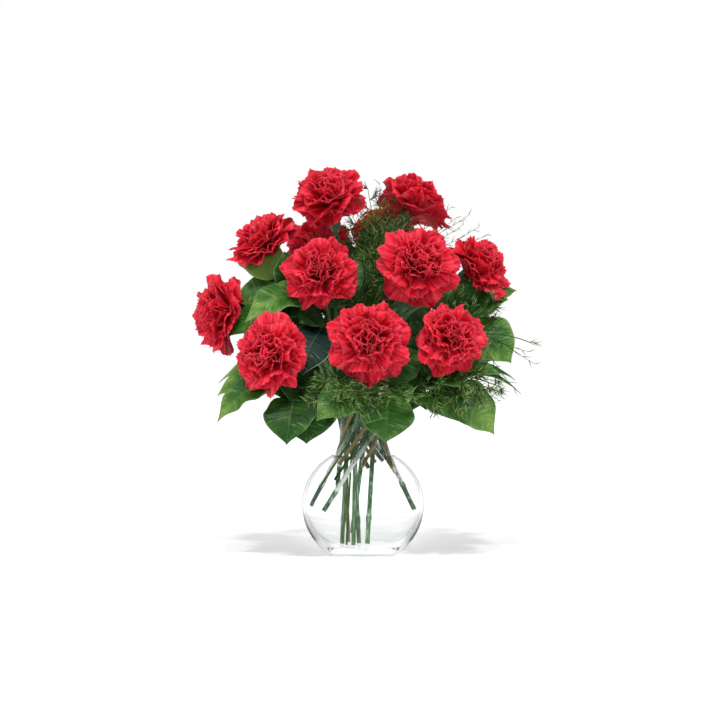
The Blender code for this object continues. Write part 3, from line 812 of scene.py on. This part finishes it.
class StemSettings(bpy.types.PropertyGroup):
    carnation: size("Carnation stem", "Radius of a carnation's stem", 0.0023)
    branch: size("Branch", "Radius of a leafy branch where it leaves the neck", 0.0018)
    branch_taper: part_of("Branch taper", "Share of its radius that a branch loses toward its tip", 0.3)
    fern: size("Fern stalk", "Radius of a fern's stalk", 0.0012)
    fern_taper: part_of("Fern taper", "Share of its radius that a fern's stalk loses toward its tip", 0.6)
    waist: size("Waist height", "Height at which the stems cross in the neck", 0.121)
    waist_drop: size("Waist drop", "Height of the waist above the foot of the neck", 0.021)
    exit_rise: size("Exit rise", "Height above the waist at which the stems start to bend", 0.029)
    neck_room: size("Neck room", "Radius that the stems have inside the neck", 0.027992)
    outer_slope: part_of("Slope", "How much the outer stems lean round the neck", 0.70)
    bend: part_of("Bend", "How far each stem keeps its direction before it bends", 0.42)
    stem: paint("Stem", "Green of the carnation stems", (0.060, 0.150, 0.045))
    stem_wax: paint("Wax", "Waxy bloom of the stems", (0.100, 0.205, 0.100))
    # the pale band on the outer stems, and the painted highlight streaks inside the vase
    stem_pale: paint("Sheath", "Pale sheaths of the stems", (0.760, 0.790, 0.740))
    stem_deep: paint("Streaks", "Darker streaks of the stems", (0.016, 0.060, 0.022))
    pith: paint("Pith", "Inside of a cut stem", (0.620, 0.640, 0.420))
    bark: paint("Bark", "Bark at the foot of a branch", (0.200, 0.130, 0.045))
    bark_young: paint("Young bark", "Bark toward the tip of a branch", (0.190, 0.200, 0.060))
    bark_pale: paint("Pores", "Pale streaks and pores of the bark", (0.420, 0.360, 0.190))


class BloomSettings(bpy.types.PropertyGroup):
    thickness: size("Petal", "Thickness of a petal", 0.00028)
    columns: IntProperty(name="Columns", description="Faces across a petal", default=38, min=8, max=60)
    rows: IntProperty(name="Rows", description="Faces along a petal", default=7, min=3, max=20)
    petal: paint("Petal", "Red of a petal", (0.900, 0.012, 0.040))
    # painted shade in the valleys of the folds, and the red of the darker petals
    petal_deep: paint("Valleys", "Red between the folds", (0.560, 0.003, 0.017))
    # painted shade deep in the bloom and in the pleats
    petal_shade: paint("Depth", "Red deep in the bloom", (0.420, 0.003, 0.014))
    petal_bright: paint("Crests", "Red along the crests", (0.900, 0.034, 0.080))
    # painted highlight of the margins and the pleats
    petal_highlight: paint("Margin", "Pale red of the toothed margin", (0.950, 0.120, 0.170))


class LeafSettings(bpy.types.PropertyGroup):
    thickness: size("Thickness", "Thickness of a leaf", 0.0005)
    fold: part_of("Fold", "How far a leaf is folded along its midrib", 0.16)
    arch: part_of("Arch", "How far a leaf arches over its length", 0.12)
    stalk: part_of("Stalk", "Share of a leaf's length that is its stalk", 0.18)
    stalk_radius: size("Stalk radius", "Radius of a leaf's stalk", 0.0008)
    # the stops from old to young leaf also give the painted shade toward each leaf's foot
    leaf_deep: paint("Old leaf", "Upper side of an old leaf", (0.004, 0.028, 0.002))
    leaf_middle: paint("Grown leaf", "Upper side of a grown leaf", (0.027, 0.115, 0.009))
    leaf_fresh: paint("Young leaf", "Upper side of a young leaf", (0.185, 0.315, 0.060))
    leaf_cool: paint("Bluish leaf", "Upper side of a bluish leaf", (0.004, 0.024, 0.020))
    leaf_back: paint("Underside", "Underside of a leaf", (0.060, 0.140, 0.045))
    leaf_vein: paint("Veins", "Veins of a leaf", (0.300, 0.460, 0.160))
    # the pale margin, partly painted highlight, and the colour of the painted glints
    leaf_margin_and_gleam: paint("Margin", "Thin pale margin of a leaf", (0.560, 0.660, 0.480))


class FernSettings(bpy.types.PropertyGroup):
    needle: size("Needle", "Length of a needle", 0.0105)
    needle_radius: size("Needle radius", "Radius of a needle at its root", 0.00042)
    gap: size("Gap", "Distance between two needles along a twig", 0.0015)
    fern: paint("Needles", "Green of the needles", (0.044, 0.130, 0.012))
    fern_deep: paint("Deep needles", "Darker green of the needles", (0.008, 0.034, 0.003))
    fern_pale: paint("Needle tips", "Pale green of the tips", (0.480, 0.630, 0.240))
    fern_brown: paint("Fern top", "Brown of the oldest, topmost twigs", (0.260, 0.120, 0.040))


class StageSettings(bpy.types.PropertyGroup):
    distance: size("Camera distance", "Distance from the vase's axis to the camera", 1.5)
    eye: size("Camera height", "Height of the camera", 0.195)
    sideways: amount("Camera offset", "Camera's place along X", -0.003, unit="LENGTH")
    lens: amount("Lens", "Focal length in millimetres", 75.0, min=1.0)
    lamp: amount("Lamps", "Full strength, of which each lamp has its share", 1.9, min=0.0)
    air: amount("Air", "Strength of the light from all round", 0.40, min=0.0)
    floor: paint("Floor", "Colour of the floor", (0.93, 0.93, 0.93))
    # painted light: an even glow of the paper, which lightens the shadows cast on it
    glow: part_of("Glow", "How much light the paper of the floor lets through from below", 0.23)
    # a painted pool of light on the paper behind the vase
    pool: part_of("Gathered light", "How much light the vase gathers on the paper behind it", 0.17)


# ---- pieces, and their operators


def arc(centre, wide, tall, start, end, steps):
    """Points along an oval arc, both its ends among them."""
    turns = [start + (end - start) * k / steps for k in range(steps + 1)]
    return [(centre[0] + wide * math.cos(a), centre[1] + tall * math.sin(a)) for a in turns]


def vase_outline(v):
    """Radius and height from the edge of the foot over the rim to the floor inside."""
    foot = v.globe * math.sqrt(1 - (v.middle / v.drop) ** 2)
    waist, inner, throat = (0, v.middle), v.globe - v.wall, v.neck - v.wall
    half, quarter = v.wall / 2, math.pi / 2
    lift, out, turn = v.flare - half, v.rim - v.neck, v.height - v.flare
    top, low = math.acos(throat / inner), math.pi / 3
    rise, drop = (v.neck_foot - v.middle) / math.sin(top), (v.middle - v.floor) / math.sin(low)
    points = [(foot + 0.0007, 0.0003), (foot + 0.0013, 0.0011)]
    points += arc(waist, v.globe, v.drop, -math.asin(v.middle / v.drop), 0, 12)[2:]
    points += arc(waist, v.globe, v.rise, 0, math.acos(v.neck / v.globe), 12)[1:]
    points += arc((v.rim, turn), -out, lift, 0, quarter, 6)
    points += arc((v.rim - half, v.height - half), half, half, 0, math.pi, 8)[1:-1]
    points += arc((throat + out, turn), -out, lift, quarter, 0, 6)
    points += arc(waist, inner, rise, top, 0, 12)
    points += arc(waist, inner, -drop, 0, low, 12)[1:]
    return foot, points + [(inner * 0.3, v.floor), (inner * 0.1, v.floor)]


class BOUQUET_OT_vase(bpy.types.Operator):
    """Turn the glass vase from a disc, up its outside and down its inside"""

    bl_idname = "bouquet.vase"
    bl_label = "Glass vase"

    def execute(self, context):
        v = context.scene.bouquet_vase
        foot, points = vase_outline(v)
        deselect()
        before = (foot * 0.3, 0.0)
        bpy.ops.mesh.primitive_circle_add(vertices=96, radius=before[0], fill_type="NGON")
        bpy.ops.object.mode_set(mode="EDIT")
        for radius, height in [(foot * 0.8, 0.0), (foot, 0.0)] + points:
            bpy.ops.mesh.extrude_region_move(TRANSFORM_OT_translate={"value": (0, 0, height - before[1])})
            grow = radius / before[0]
            bpy.ops.transform.resize(value=(grow, grow, 1), center_override=(0, 0, height))
            before = (radius, height)
        close_up(0.00001)
        bpy.ops.object.shade_smooth_by_angle(angle=math.radians(35))
        vase = context.object
        vase.name = "turned_glass_vase"
        vase.data.materials.append(glass_finish(v))
        finish_piece(vase, "clear_glass", "glass_vase")
        return {"FINISHED"}


def add_sepal(mouth, face, start):
    """One of the pointed lobes round the mouth of the calyx."""
    across = face.orthogonal().normalized()
    other = face.cross(across)

    def place(x, u):
        turn = start + x * (1 - u) ** 0.8 * 0.52
        out = across * math.cos(turn) + other * math.sin(turn)
        return mouth + face * (0.0085 * u - 0.004) + out * (CALYX_MOUTH + 0.0002 + 0.0008 * u * u), 0.0

    add_sheet(6, 4, place, "wax")


def add_blade(start, along, out, long, broad, spread, wax):
    """A narrow leaf that clasps the stem, rises and bends away."""
    side = along.cross(out).normalized()

    def place(x, u):
        centre = start + along * long * (u - 0.25 * u ** 3) + out * long * (0.03 * u + spread * u ** 2)
        half = broad * max(0.0, 1 - u ** 2.2) ** 0.8 + 0.0001
        normal = (out * (1 - 0.5 * u) - along * 0.6 * u).normalized()
        return centre + side * half * x - normal * half * 0.45 * (1 - x * x), wax

    add_sheet(4, 12, place, "wax")


def joint_places(length, free, rng):
    """How far up the stem its swollen joints are: one near the foot and up to two above the neck."""
    low = 0.022 + 0.006 * rng.random()
    high = (free + 0.012 + 0.02 * rng.random(), free + 0.068)
    return [low] + [place for place in high if place < length - 0.02]


def mark_stem(rod, foot, first_joint, outer):
    """Marks an outer stem as deep green below its first joint, and above it as pale, fading upwards."""
    for mark, vert in zip(point_marks(rod, "wax"), rod.data.vertices):
        high = (vert.co - foot).length
        # a pale band from the first joint, fading out between 55 and 85 mm above the foot
        pale_band = 0.95 * max(0.0, 1 - max(0.0, high - 0.055) / 0.03)
        if outer:
            mark.value = -0.80 if high < first_joint else pale_band


class BOUQUET_OT_carnation_stems(bpy.types.Operator):
    """Grow the carnation stems with their joints, narrow leaves and calyxes"""

    bl_idname = "bouquet.carnation_stems"
    bl_label = "Carnation stems"

    def execute(self, context):
        s = context.scene.bouquet_stems
        green, pith = stem_finish(s), cut_finish(s)
        for number, centre, azimuth, tilt, _, ring, place in CARNATIONS:
            rng = random.Random(100 + number)
            node = f"carnation_{number:02d}_stem"
            name = f"grown_{node}"
            face = heading(azimuth, tilt)
            mouth = Vector(centre) - face * BLOOM_CENTRE
            calyx_foot = mouth - face * CALYX_LENGTH
            start, _ = neck_line(s, ring, place, s.carnation)
            rise = growth(s, ring, place, s.carnation, calyx_foot, face, 14)
            path = evenly([cut_end(node), start] + rise, 0.004)
            travelled = distances(path)
            free = next(t for t, p in zip(travelled, path) if p.z > FREE_OF_NECK)
            joints = joint_places(travelled[-1], free, rng)
            radii = [s.carnation * k for k in swollen(travelled, joints, 0.28, 0.0035)]
            for along, wide in CALYX_PROFILE:
                path.append(calyx_foot + face * CALYX_LENGTH * along)
                radii.append(s.carnation * wide)
            rod = rods(name, [(path, radii)], green, 3)
            mark_stem(rod, path[0], joints[0], ring == "outer")
            rod.data.materials.append(pith)
            lean = (path[1] - path[0]).normalized()
            for polygon in rod.data.polygons:
                near = (polygon.center - path[0]).length < s.carnation * 0.5
                if near and polygon.normal.dot(lean) < -0.5:
                    polygon.material_index = 1
            sheets = open_sheets(name + "_leaves")
            for k in range(5):
                add_sepal(mouth, face, math.radians(72 * k + 20))
            for spot in joints[1:]:
                k = next(i for i, t in enumerate(travelled) if t >= spot)
                along = (path[k + 1] - path[k - 1]).normalized()
                out = turned(along, rng.random() * math.tau)
                for way in (out, -out):
                    long = 0.026 + 0.02 * rng.random()
                    add_blade(path[k] + way * s.carnation * 0.9, along, way, long, 0.0023, 0.62, 0.0)
            for height in BLADE_HEIGHTS:
                k = next(i for i, q in enumerate(path) if q.z > height + 0.006 * rng.random())
                along = (path[k + 1] - path[k - 1]).normalized()
                inward = -Vector((path[k].x, path[k].y, 0.0)).normalized()
                inward.rotate(Quaternion(along, rng.uniform(-1.2, 1.2)))
                inward = square_to(along, inward)
                long = rng.uniform(0.018, 0.030)
                wax = rng.uniform(-1.0, 0.4)
                add_blade(path[k] + inward * s.carnation * 0.9, along, inward, long, 0.0030, 0.10, wax)
            close_sheets(sheets, [green], 0.0004)
            finish_piece(join(name, [rod, sheets]), "stem_green", node)
        return {"FINISHED"}


def add_petal(b, foot, face, out, margin, bend, fan, ruffle, inner, spin, rng):
    """Adds one fan-shaped petal that leaves the calyx and bends out to its toothed, ruffled margin."""
    side = face.cross(out)
    root, middle, rim = Vector((0.0032, -0.001)), Vector(bend), Vector(margin)
    phase, second = rng.uniform(0, math.tau), rng.uniform(0, math.tau)
    folds = rng.uniform(1.6, 2.8)
    twist = rng.uniform(-0.30, 0.30)
    crease = rng.uniform(-0.30, 0.45)
    curl = rng.uniform(-0.0035, 0.0045)
    lobe = rng.uniform(0.02, 0.07)
    teeth = [rng.uniform(-0.0007, 0.0007) + 0.0004 * (-1) ** k for k in range(b.columns + 1)]
    whole = ((middle - root).length + (rim - middle).length) * 0.93
    pleats = rng.uniform(8.5, 11.5)
    cup = max(rim.x, 0.013) * rng.uniform(1.1, 1.7)

    def place(x, u):
        edge = 1 - 0.24 * abs(x) ** 2.8 + lobe * math.cos(math.pi * folds * x + phase)
        far = whole * u * (1 + (edge - 1) * u) + teeth[round((x + 1) / 2 * b.columns)] * u ** 5
        t = max(0.0, min(1.15, far * math.cos(x * fan) / whole))
        lateral = far * math.sin(x * fan) * 1.08
        spot = curved(root, middle, rim, t)
        slope = ((middle - root) * (1 - t) + (rim - middle) * t).normalized()
        wave = math.sin(math.pi * folds * x + phase) + 0.35 * math.sin(math.pi * folds * 2.3 * x + second)
        pleat = math.sin(math.pi * pleats * x + second)
        lift = (ruffle * wave + 0.00055 * pleat) * u ** 1.8 + (twist * lateral + crease * abs(lateral)) * u
        lift += curl * u ** 3
        away = face * slope.x - out * slope.y
        turn = lateral / cup
        inward = cup * (1 - math.cos(turn)) * 0.7 * math.cos(spin)
        spread = (side * math.cos(spin) + away * math.sin(spin)) * cup * math.sin(turn)
        spread += (away * math.cos(spin) - side * math.sin(spin)) * lift
        # the mark is the height of the ruffles and pleats, which the finish turns into painted shade and
        # painted highlight
        return foot + out * (spot.x - inward) + spread + face * spot.y, 0.55 * wave + 0.4 * pleat

    # heart, how near the heart a petal is, strengthens the painted highlight of its margin
    add_sheet(b.columns, b.rows, place, "fold", heart=inner, tint=rng.random())


class BOUQUET_OT_blooms(bpy.types.Operator):
    """Open the twelve carnations, petal row by petal row, with toothed and ruffled margins"""

    bl_idname = "bouquet.blooms"
    bl_label = "Carnation blooms"

    def execute(self, context):
        b = context.scene.bouquet_blooms
        red = petal_finish(b)
        for number, centre, azimuth, tilt, radius, _, _ in CARNATIONS:
            rng = random.Random(500 + number)
            node = f"carnation_{number:02d}_bloom"
            face = heading(azimuth, tilt)
            foot = Vector(centre) - face * BLOOM_CENTRE
            radius += BLOOM_PROUD
            bloom = open_sheets(f"opened_{node}")
            hangs = [(square_to(face, Vector(row[1])), *row[2:]) for row in HANGING if row[0] == number]
            turn, oval, third = (rng.uniform(0, math.tau) for _ in range(3))
            petals = [(ring, share / (ring[0] - 1)) for ring in RINGS for share in range(ring[0])]
            for k, ((_, low, high, far_out, wide), share) in enumerate(petals):
                inner = k / (len(petals) - 1)
                angle = turn + GOLDEN_TURN * k + rng.uniform(-0.18, 0.18)
                out = turned(face, angle)
                polar = math.radians(low + (high - low) * share + rng.uniform(-5, 5))
                reach = radius * far_out * rng.uniform(0.92, 1.04)
                uneven = math.sin(2 * angle + oval) + math.sin(3 * angle + third)
                reach *= 1 + 0.05 * uneven * (1 - inner)
                margin = [reach * math.sin(polar), 0.014 + 0.80 * reach * math.cos(polar)]
                margin[1] -= 0.006 * max(0.0, out.dot(DOWN)) * max(0.0, 1 - 3 * inner)
                for way, far, drop in hangs:
                    if k < RINGS[0][0] and out.dot(way) > 0.86:
                        margin = [radius * far, 0.011 - drop]
                        wide = HANGING_FAN
                bend = (0.008 - 0.004 * inner + rng.uniform(-0.001, 0.002), 0.016 + 0.011 * inner)
                fan = math.radians(wide + rng.uniform(-5, 5))
                ruffle = rng.uniform(0.0024, 0.0044) * (1 - 0.35 * inner)
                spin = rng.uniform(-1.35, 1.35) * min(1.0, max(0.0, (inner - 0.34) / 0.20))
                add_petal(b, foot, face, out, margin, bend, fan, ruffle, inner, spin, rng)
            close_sheets(bloom, [red], b.thickness)
            finish_piece(bloom, "crimson_petal", node)
        return {"FINISHED"}


class BOUQUET_OT_branches(bpy.types.Operator):
    """Grow the seven woody branches, each with its buds and leaf scars"""

    bl_idname = "bouquet.branches"
    bl_label = "Leafy branches"

    def execute(self, context):
        s = context.scene.bouquet_stems
        bark = bark_finish(s)
        for row in BRANCHES:
            number, leaves = row[0], row[-1]
            node = f"leafy_branch_{number}"
            start, _ = neck_line(s, row[1], row[2], s.branch)
            rise = branch_rise(s, row)
            low = evenly([cut_end(node), start, rise[0]], 0.006)[:-1]
            path = low + rise
            shares = [0.0] * len(low) + [k / (len(rise) - 1) for k in range(len(rise))]
            travelled = distances(path)
            base = travelled[len(low)]
            scars = [base + (travelled[-1] - base) * leaf[1] for leaf in leaves]
            scars += [0.02 + 0.027 * k for k in range(4)]
            swell = swollen(travelled, scars, 0.22, 0.0028)
            radii = [s.branch * (1 - s.branch_taper * share) * k for share, k in zip(shares, swell)]
            lines = [(path, radii)]
            for _, share, *_ in leaves:
                spot, along = along_path(rise, min(share, 0.995))
                bud = turned(along, 37.0 * share + number)
                tip = spot + bud * 0.0032 + along * 0.0022
                lines.append(([spot + bud * 0.001, spot.lerp(tip, 0.6), tip], [0.0007, 0.0008, 0.0002]))
            finish_piece(join(f"woody_{node}", [rods(node, lines, bark, 3)]), "branch_bark", node)
        return {"FINISHED"}


def shape_leaf(name, p, start, leaving, tip, width, face, age, finishes, rng):
    """A leaf from the foot of its stalk to its tip, with a midrib beneath."""
    span = (tip - start).length
    ahead = (tip - start).normalized()
    middle = start.lerp(tip, 0.5) + face * span * 2 * p.arch
    middle += (-DOWN - ahead * ahead.z) * span * 0.17
    waves = rng.uniform(0, math.tau)
    ripple = rng.uniform(0.02, 0.05)
    lean = rng.uniform(-0.05, 0.05)
    droop = rng.uniform(0.02, 0.07)

    def spine(u):
        slope = (middle - start) * (1 - u) + (tip - middle) * u
        along = leaving.lerp(slope.normalized(), min(1.0, u * 4)).normalized()
        side = along.cross(face).normalized()
        v = max(0.0, (u - p.stalk) / (1 - p.stalk))
        bow = side * lean * span * math.sin(math.pi * v)
        return curved(start, middle, tip, u) + bow, side, side.cross(along)

    def half_width(v):
        full = max(0.0, math.sin(math.pi * v ** 0.85)) ** (0.50 + 0.60 * v * v)
        return width / 2 * full * (1 - 0.30 * v ** 6)

    def place(x, v):
        u = p.stalk + (1 - p.stalk) * v
        spot, side, normal = spine(u)
        half = max(half_width(v), p.stalk_radius * 0.7 * (1 - v) + 0.0001)
        edge = abs(x)
        raised = p.fold * half * edge ** 1.4 - droop * half * edge ** 4
        wavy = ripple * 2.2 * half * edge ** 3 * math.sin(2.6 * math.tau * v + waves + (x > 0) * 1.9)
        quilt = 0.0004 * math.sin(math.pi * edge) * math.cos(math.tau * 9 * (v - 0.17 * edge ** 1.3))
        return spot + side * half * x + normal * (raised + wavy + quilt * (half > 0.004)), age

    sheet = open_sheets(name)
    add_sheet(14, 28, place, "age")
    close_sheets(sheet, finishes, p.thickness)
    line = [spine(k / STALK_STEPS * p.stalk)[0] for k in range(STALK_STEPS)]
    for k in range(RIB_STEPS + 1):
        spot, _, normal = spine(p.stalk + (0.97 - p.stalk) * k / RIB_STEPS)
        line.append(spot - normal * 0.0003)
    radii = thinning(STALK_STEPS, p.stalk_radius, p.stalk_radius * 0.2 / STALK_STEPS)
    radii += thinning(RIB_STEPS + 1, p.stalk_radius * 0.75, p.stalk_radius * 0.6 / RIB_STEPS)
    rib = rods(name + "_rib", [(line, radii)], finishes[-1], 1)
    for mark in point_marks(rib, "age"):
        mark.value = 1.0
    return join(name, [sheet, rib])


class BOUQUET_OT_leaves(bpy.types.Operator):
    """Shape the leathery leaves on their stalks, with a raised midrib beneath and a wavy margin"""

    bl_idname = "bouquet.leaves"
    bl_label = "Leaves"

    def execute(self, context):
        p, s = context.scene.bouquet_leaves, context.scene.bouquet_stems
        finishes = [leaf_finish(p, False), leaf_finish(p, True)]
        for row in BRANCHES:
            rise = branch_rise(s, row)
            side_leaves = [leaf[1:] for leaf in SIDE_LEAVES if leaf[0] == row[0]]
            for letter, share, tip, width, facing, up, age in list(row[-1]) + side_leaves:
                rng = random.Random(f"{row[0]}{letter}")
                tip = Vector(tip)
                spot, along = along_path(rise, share)
                if share >= 1:
                    leaving = along
                    start = spot + leaving * GAP
                else:
                    leaving = square_to(along, tip - spot)
                    start = spot + leaving * (s.branch * (1 - s.branch_taper * share) * 0.9)
                node = f"leaf_{row[0]}{letter}"
                form = (start, leaving, tip, width, heading(facing, up), age)
                piece = shape_leaf(f"leathery_{node}", p, *form, finishes, rng)
                finish_piece(piece, "glossy_leaf", *([node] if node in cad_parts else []))
        return {"FINISHED"}


def needle_seed(f):
    """One needle, a slim three-sided spike that rises along +Z and bends, copied for all the others."""
    deselect()
    bpy.ops.mesh.primitive_circle_add(vertices=3, radius=f.needle_radius, fill_type="NGON")
    bpy.ops.object.mode_set(mode="EDIT")
    for aside, up, grow in ((0.0003, 0.45, 0.9), (0.0012, 0.55, 0.08)):
        bpy.ops.mesh.extrude_region_move(TRANSFORM_OT_translate={"value": (aside, 0, f.needle * up)})
        bpy.ops.transform.resize(value=(grow, grow, grow))
    close_up(0.000002)
    return bpy.context.object


def stamp_needles(name, seed, places, material):
    """Copies of the needle at all the places, as one mesh, each with its own pale tip."""
    points = [v.co.copy() for v in seed.data.vertices]
    faces = [tuple(p.vertices) for p in seed.data.polygons]
    top = max(p.z for p in points)
    verts, polygons, tips = [], [], []
    for matrix, pale in places:
        base = len(verts)
        verts += [matrix @ p for p in points]
        tips += [pale * (0.35 + 0.65 * p.z / top) for p in points]
        polygons += [tuple(base + k for k in face) for face in faces]
    mesh = bpy.data.meshes.new(name)
    mesh.from_pydata(verts, [], polygons)
    mesh.materials.append(material)
    thing = put(name, mesh)
    point_marks(thing, "tip").foreach_set("value", tips)
    bpy.ops.object.shade_smooth()
    return thing


def add_needles(path, spacing, places, rng):
    """Needles one after another round a twig, longer at its middle, that lean toward its tip."""
    count = max(4, int(distances(path)[-1] / spacing))
    start = rng.uniform(0, math.tau)
    for k in range(count + 1):
        share = k / count
        spot, along = along_path(path, min(share, 0.999))
        long = (0.55 + 0.45 * math.sin(math.pi * (0.15 + 0.7 * share))) * rng.uniform(0.6, 1.2)
        out = turned(along, start + GOLDEN_TURN * k + rng.uniform(-0.5, 0.5))
        way = (out + along * rng.uniform(0.7, 2.2)).normalized()
        matrix = Matrix.Translation(spot) @ way.to_track_quat("Z", "Y").to_matrix().to_4x4()
        places.append((matrix @ Matrix.Diagonal((1, 1, long, 1)), rng.random() ** 2.0))


def twig_points(start, way, long, bow, rng, steps=6):
    """A twig's points, bowing toward its end."""
    points = [start]
    direction = way.normalized()
    for _ in range(steps):
        stray = Vector([rng.uniform(-0.06, 0.06) for _ in range(3)])
        direction = (direction + bow * (1 / steps) + stray).normalized()
        points.append(points[-1] + direction * (long / steps))
    return points


def feather(f, path, bare, count, row, longest, lines, places, rng):
    """Forked twigs in two rows along a stalk above its bare share; every fourth is a longer, barer wisp."""
    for k in range(count):
        share = bare + (1 - bare) * k / (count - 1)
        spot, along = along_path(path, min(share, 0.999))
        stray = turned(along, rng.uniform(0, math.tau)) * 0.45
        out = (square_to(along, row) * (-1) ** k + stray).normalized()
        long = longest * math.sin(math.pi * (0.2 + 0.75 * k / (count - 1))) * rng.uniform(0.75, 1.2)
        if k % 4 == 2:
            twig = twig_points(spot, out + along * 0.9, long * 1.25, along * 0.7 + DOWN * 0.5, rng)
            lines.append((twig, thinning(len(twig), 0.00042, 0.00004)))
            add_needles(twig, f.gap * 2.2, places, rng)
            continue
        twig = twig_points(spot, out + along * 0.6, long, along * 0.5 + DOWN * 0.25, rng)
        lines.append((twig, thinning(len(twig), 0.0005, 0.00005)))
        add_needles(twig, f.gap, places, rng)
        for part in (0.35, 0.65):
            fork, heads = along_path(twig, part)
            aside = turned(heads, rng.uniform(0, math.tau))
            small = twig_points(fork, heads + aside * 0.8, long * 0.42, heads * 0.4, rng, 3)
            lines.append((small, [0.00034, 0.0003, 0.00024, 0.00018]))
            add_needles(small, f.gap, places, rng)


class BOUQUET_OT_ferns(bpy.types.Operator):
    """Feather the fern sprays: a stalk, rows of twigs, and tufts of needles along every twig"""

    bl_idname = "bouquet.ferns"
    bl_label = "Fern sprays"

    def execute(self, context):
        f, s = context.scene.bouquet_ferns, context.scene.bouquet_stems
        green = fern_finish(f)
        seed = needle_seed(f)
        for number, ring, place, tip, azimuth, tilt, row, longest, twigs in FERNS:
            rng = random.Random(900 + number)
            node = f"fern_spray_{number}"
            start, _ = neck_line(s, ring, place, s.fern)
            rise = growth(s, ring, place, s.fern, Vector(tip), heading(azimuth, tilt), 19)
            path = evenly([cut_end(node), start], 0.008) + rise
            lines = [(path, thinning(len(path), s.fern, s.fern * s.fern_taper / (len(path) - 1)))]
            places = []
            feather(f, rise, 0.26, twigs, Vector(row), longest, lines, places, rng)
            for which, share, fork_tip, fork_longest, fork_twigs in FERN_FORKS:
                if which != number:
                    continue
                spot, along = along_path(rise, share)
                fork_tip = Vector(fork_tip)
                reach = (fork_tip - spot).length * 0.4
                way = (fork_tip - spot).normalized()
                bow = [spot, spot + (along + way).normalized() * reach, fork_tip - way * reach, fork_tip]
                fork = [Vector(q) for q in geometry.interpolate_bezier(*bow, FORK_POINTS)]
                if fork_twigs:
                    lines.append((fork, thinning(FORK_POINTS, 0.0007, 0.00004)))
                    feather(f, fork, 0.15, fork_twigs, Vector(row), fork_longest, lines, places, rng)
                else:
                    lines.append((fork, thinning(FORK_POINTS, 0.0004, 0.00002)))
                    add_needles(fork[4:], f.gap * 4, places, rng)
            stalk = rods(node, lines, green, 0)
            tufts = stamp_needles(node + "_needles", seed, places, green)
            finish_piece(join(f"feathery_{node}", [stalk, tufts]), "fern_green", node)
        deselect()
        seed.select_set(True)
        bpy.ops.object.delete()
        return {"FINISHED"}


class BOUQUET_OT_stage(bpy.types.Operator):
    """Set up the pale floor, the lamps, the light all round and the camera"""

    bl_idname = "bouquet.stage"
    bl_label = "Stage"

    def execute(self, context):
        g = context.scene.bouquet_stage
        deselect()
        bpy.ops.mesh.primitive_plane_add(size=12)
        floor = context.object
        floor.name = "paper_floor"
        floor.data.materials.append(floor_finish(g))
        for name, azimuth, elevation, share, softness in LAMPS:
            deselect()
            bpy.ops.object.light_add(type="SUN", location=heading(azimuth, elevation) * 2)
            lamp = context.object
            lamp.name = name
            lamp.rotation_euler = heading(azimuth, elevation).to_track_quat("Z", "Y").to_euler()
            lamp.data.energy = g.lamp * share
            lamp.data.angle = math.radians(softness)
        world = bpy.data.worlds.new("white_air")
        world.use_nodes = True
        air = Nodes(world.node_tree)
        around = air.tree.nodes["Background"]
        air.fill(around.inputs["Color"], (1.0, 1.0, 1.0))
        air.fill(around.inputs["Strength"], g.air)
        seen = air.add("Background", Color=(1.0, 1.0, 1.0))
        ray = air.add("LightPath").outputs
        straight = air.larger(ray["Is Camera Ray"], ray["Is Transmission Ray"])
        air.shaders(air.larger(straight, ray["Is Singular Ray"]), around, seen, "World Output")
        context.scene.world = world
        context.scene.view_settings.view_transform = "Standard"
        deselect()
        bpy.ops.object.camera_add(location=(g.sideways, -g.distance, g.eye), rotation=(math.pi / 2, 0, 0))
        camera = context.object
        camera.data.lens = g.lens
        camera.data.sensor_width = 36.0
        context.scene.camera = camera
        return {"FINISHED"}


class BOUQUET_PT_panel(bpy.types.Panel):
    """Builds the bouquet piece by piece"""

    bl_idname = "BOUQUET_PT_panel"
    bl_label = "Carnation bouquet"
    bl_space_type = "VIEW_3D"
    bl_region_type = "UI"
    bl_category = "Bouquet"

    def draw(self, context):
        for operator in OPERATORS:
            self.layout.operator(operator.bl_idname)


SETTINGS = {
    "bouquet_vase": VaseSettings,
    "bouquet_stems": StemSettings,
    "bouquet_blooms": BloomSettings,
    "bouquet_leaves": LeafSettings,
    "bouquet_ferns": FernSettings,
    "bouquet_stage": StageSettings,
}
OPERATORS = (
    BOUQUET_OT_vase,
    BOUQUET_OT_carnation_stems,
    BOUQUET_OT_blooms,
    BOUQUET_OT_branches,
    BOUQUET_OT_leaves,
    BOUQUET_OT_ferns,
    BOUQUET_OT_stage,
)


register_classes, unregister_classes = bpy.utils.register_classes_factory(
    (*SETTINGS.values(), *OPERATORS, BOUQUET_PT_panel)
)


def register():
    register_classes()
    for key, group in SETTINGS.items():
        setattr(bpy.types.Scene, key, PointerProperty(type=group))


def unregister():
    for key in SETTINGS:
        delattr(bpy.types.Scene, key)
    unregister_classes()


def main():
    register()
    bpy.ops.bouquet.vase()
    bpy.ops.bouquet.carnation_stems()
    bpy.ops.bouquet.blooms()
    bpy.ops.bouquet.branches()
    bpy.ops.bouquet.leaves()
    bpy.ops.bouquet.ferns()
    bpy.ops.bouquet.stage()


if __name__ == "__main__":
    main()
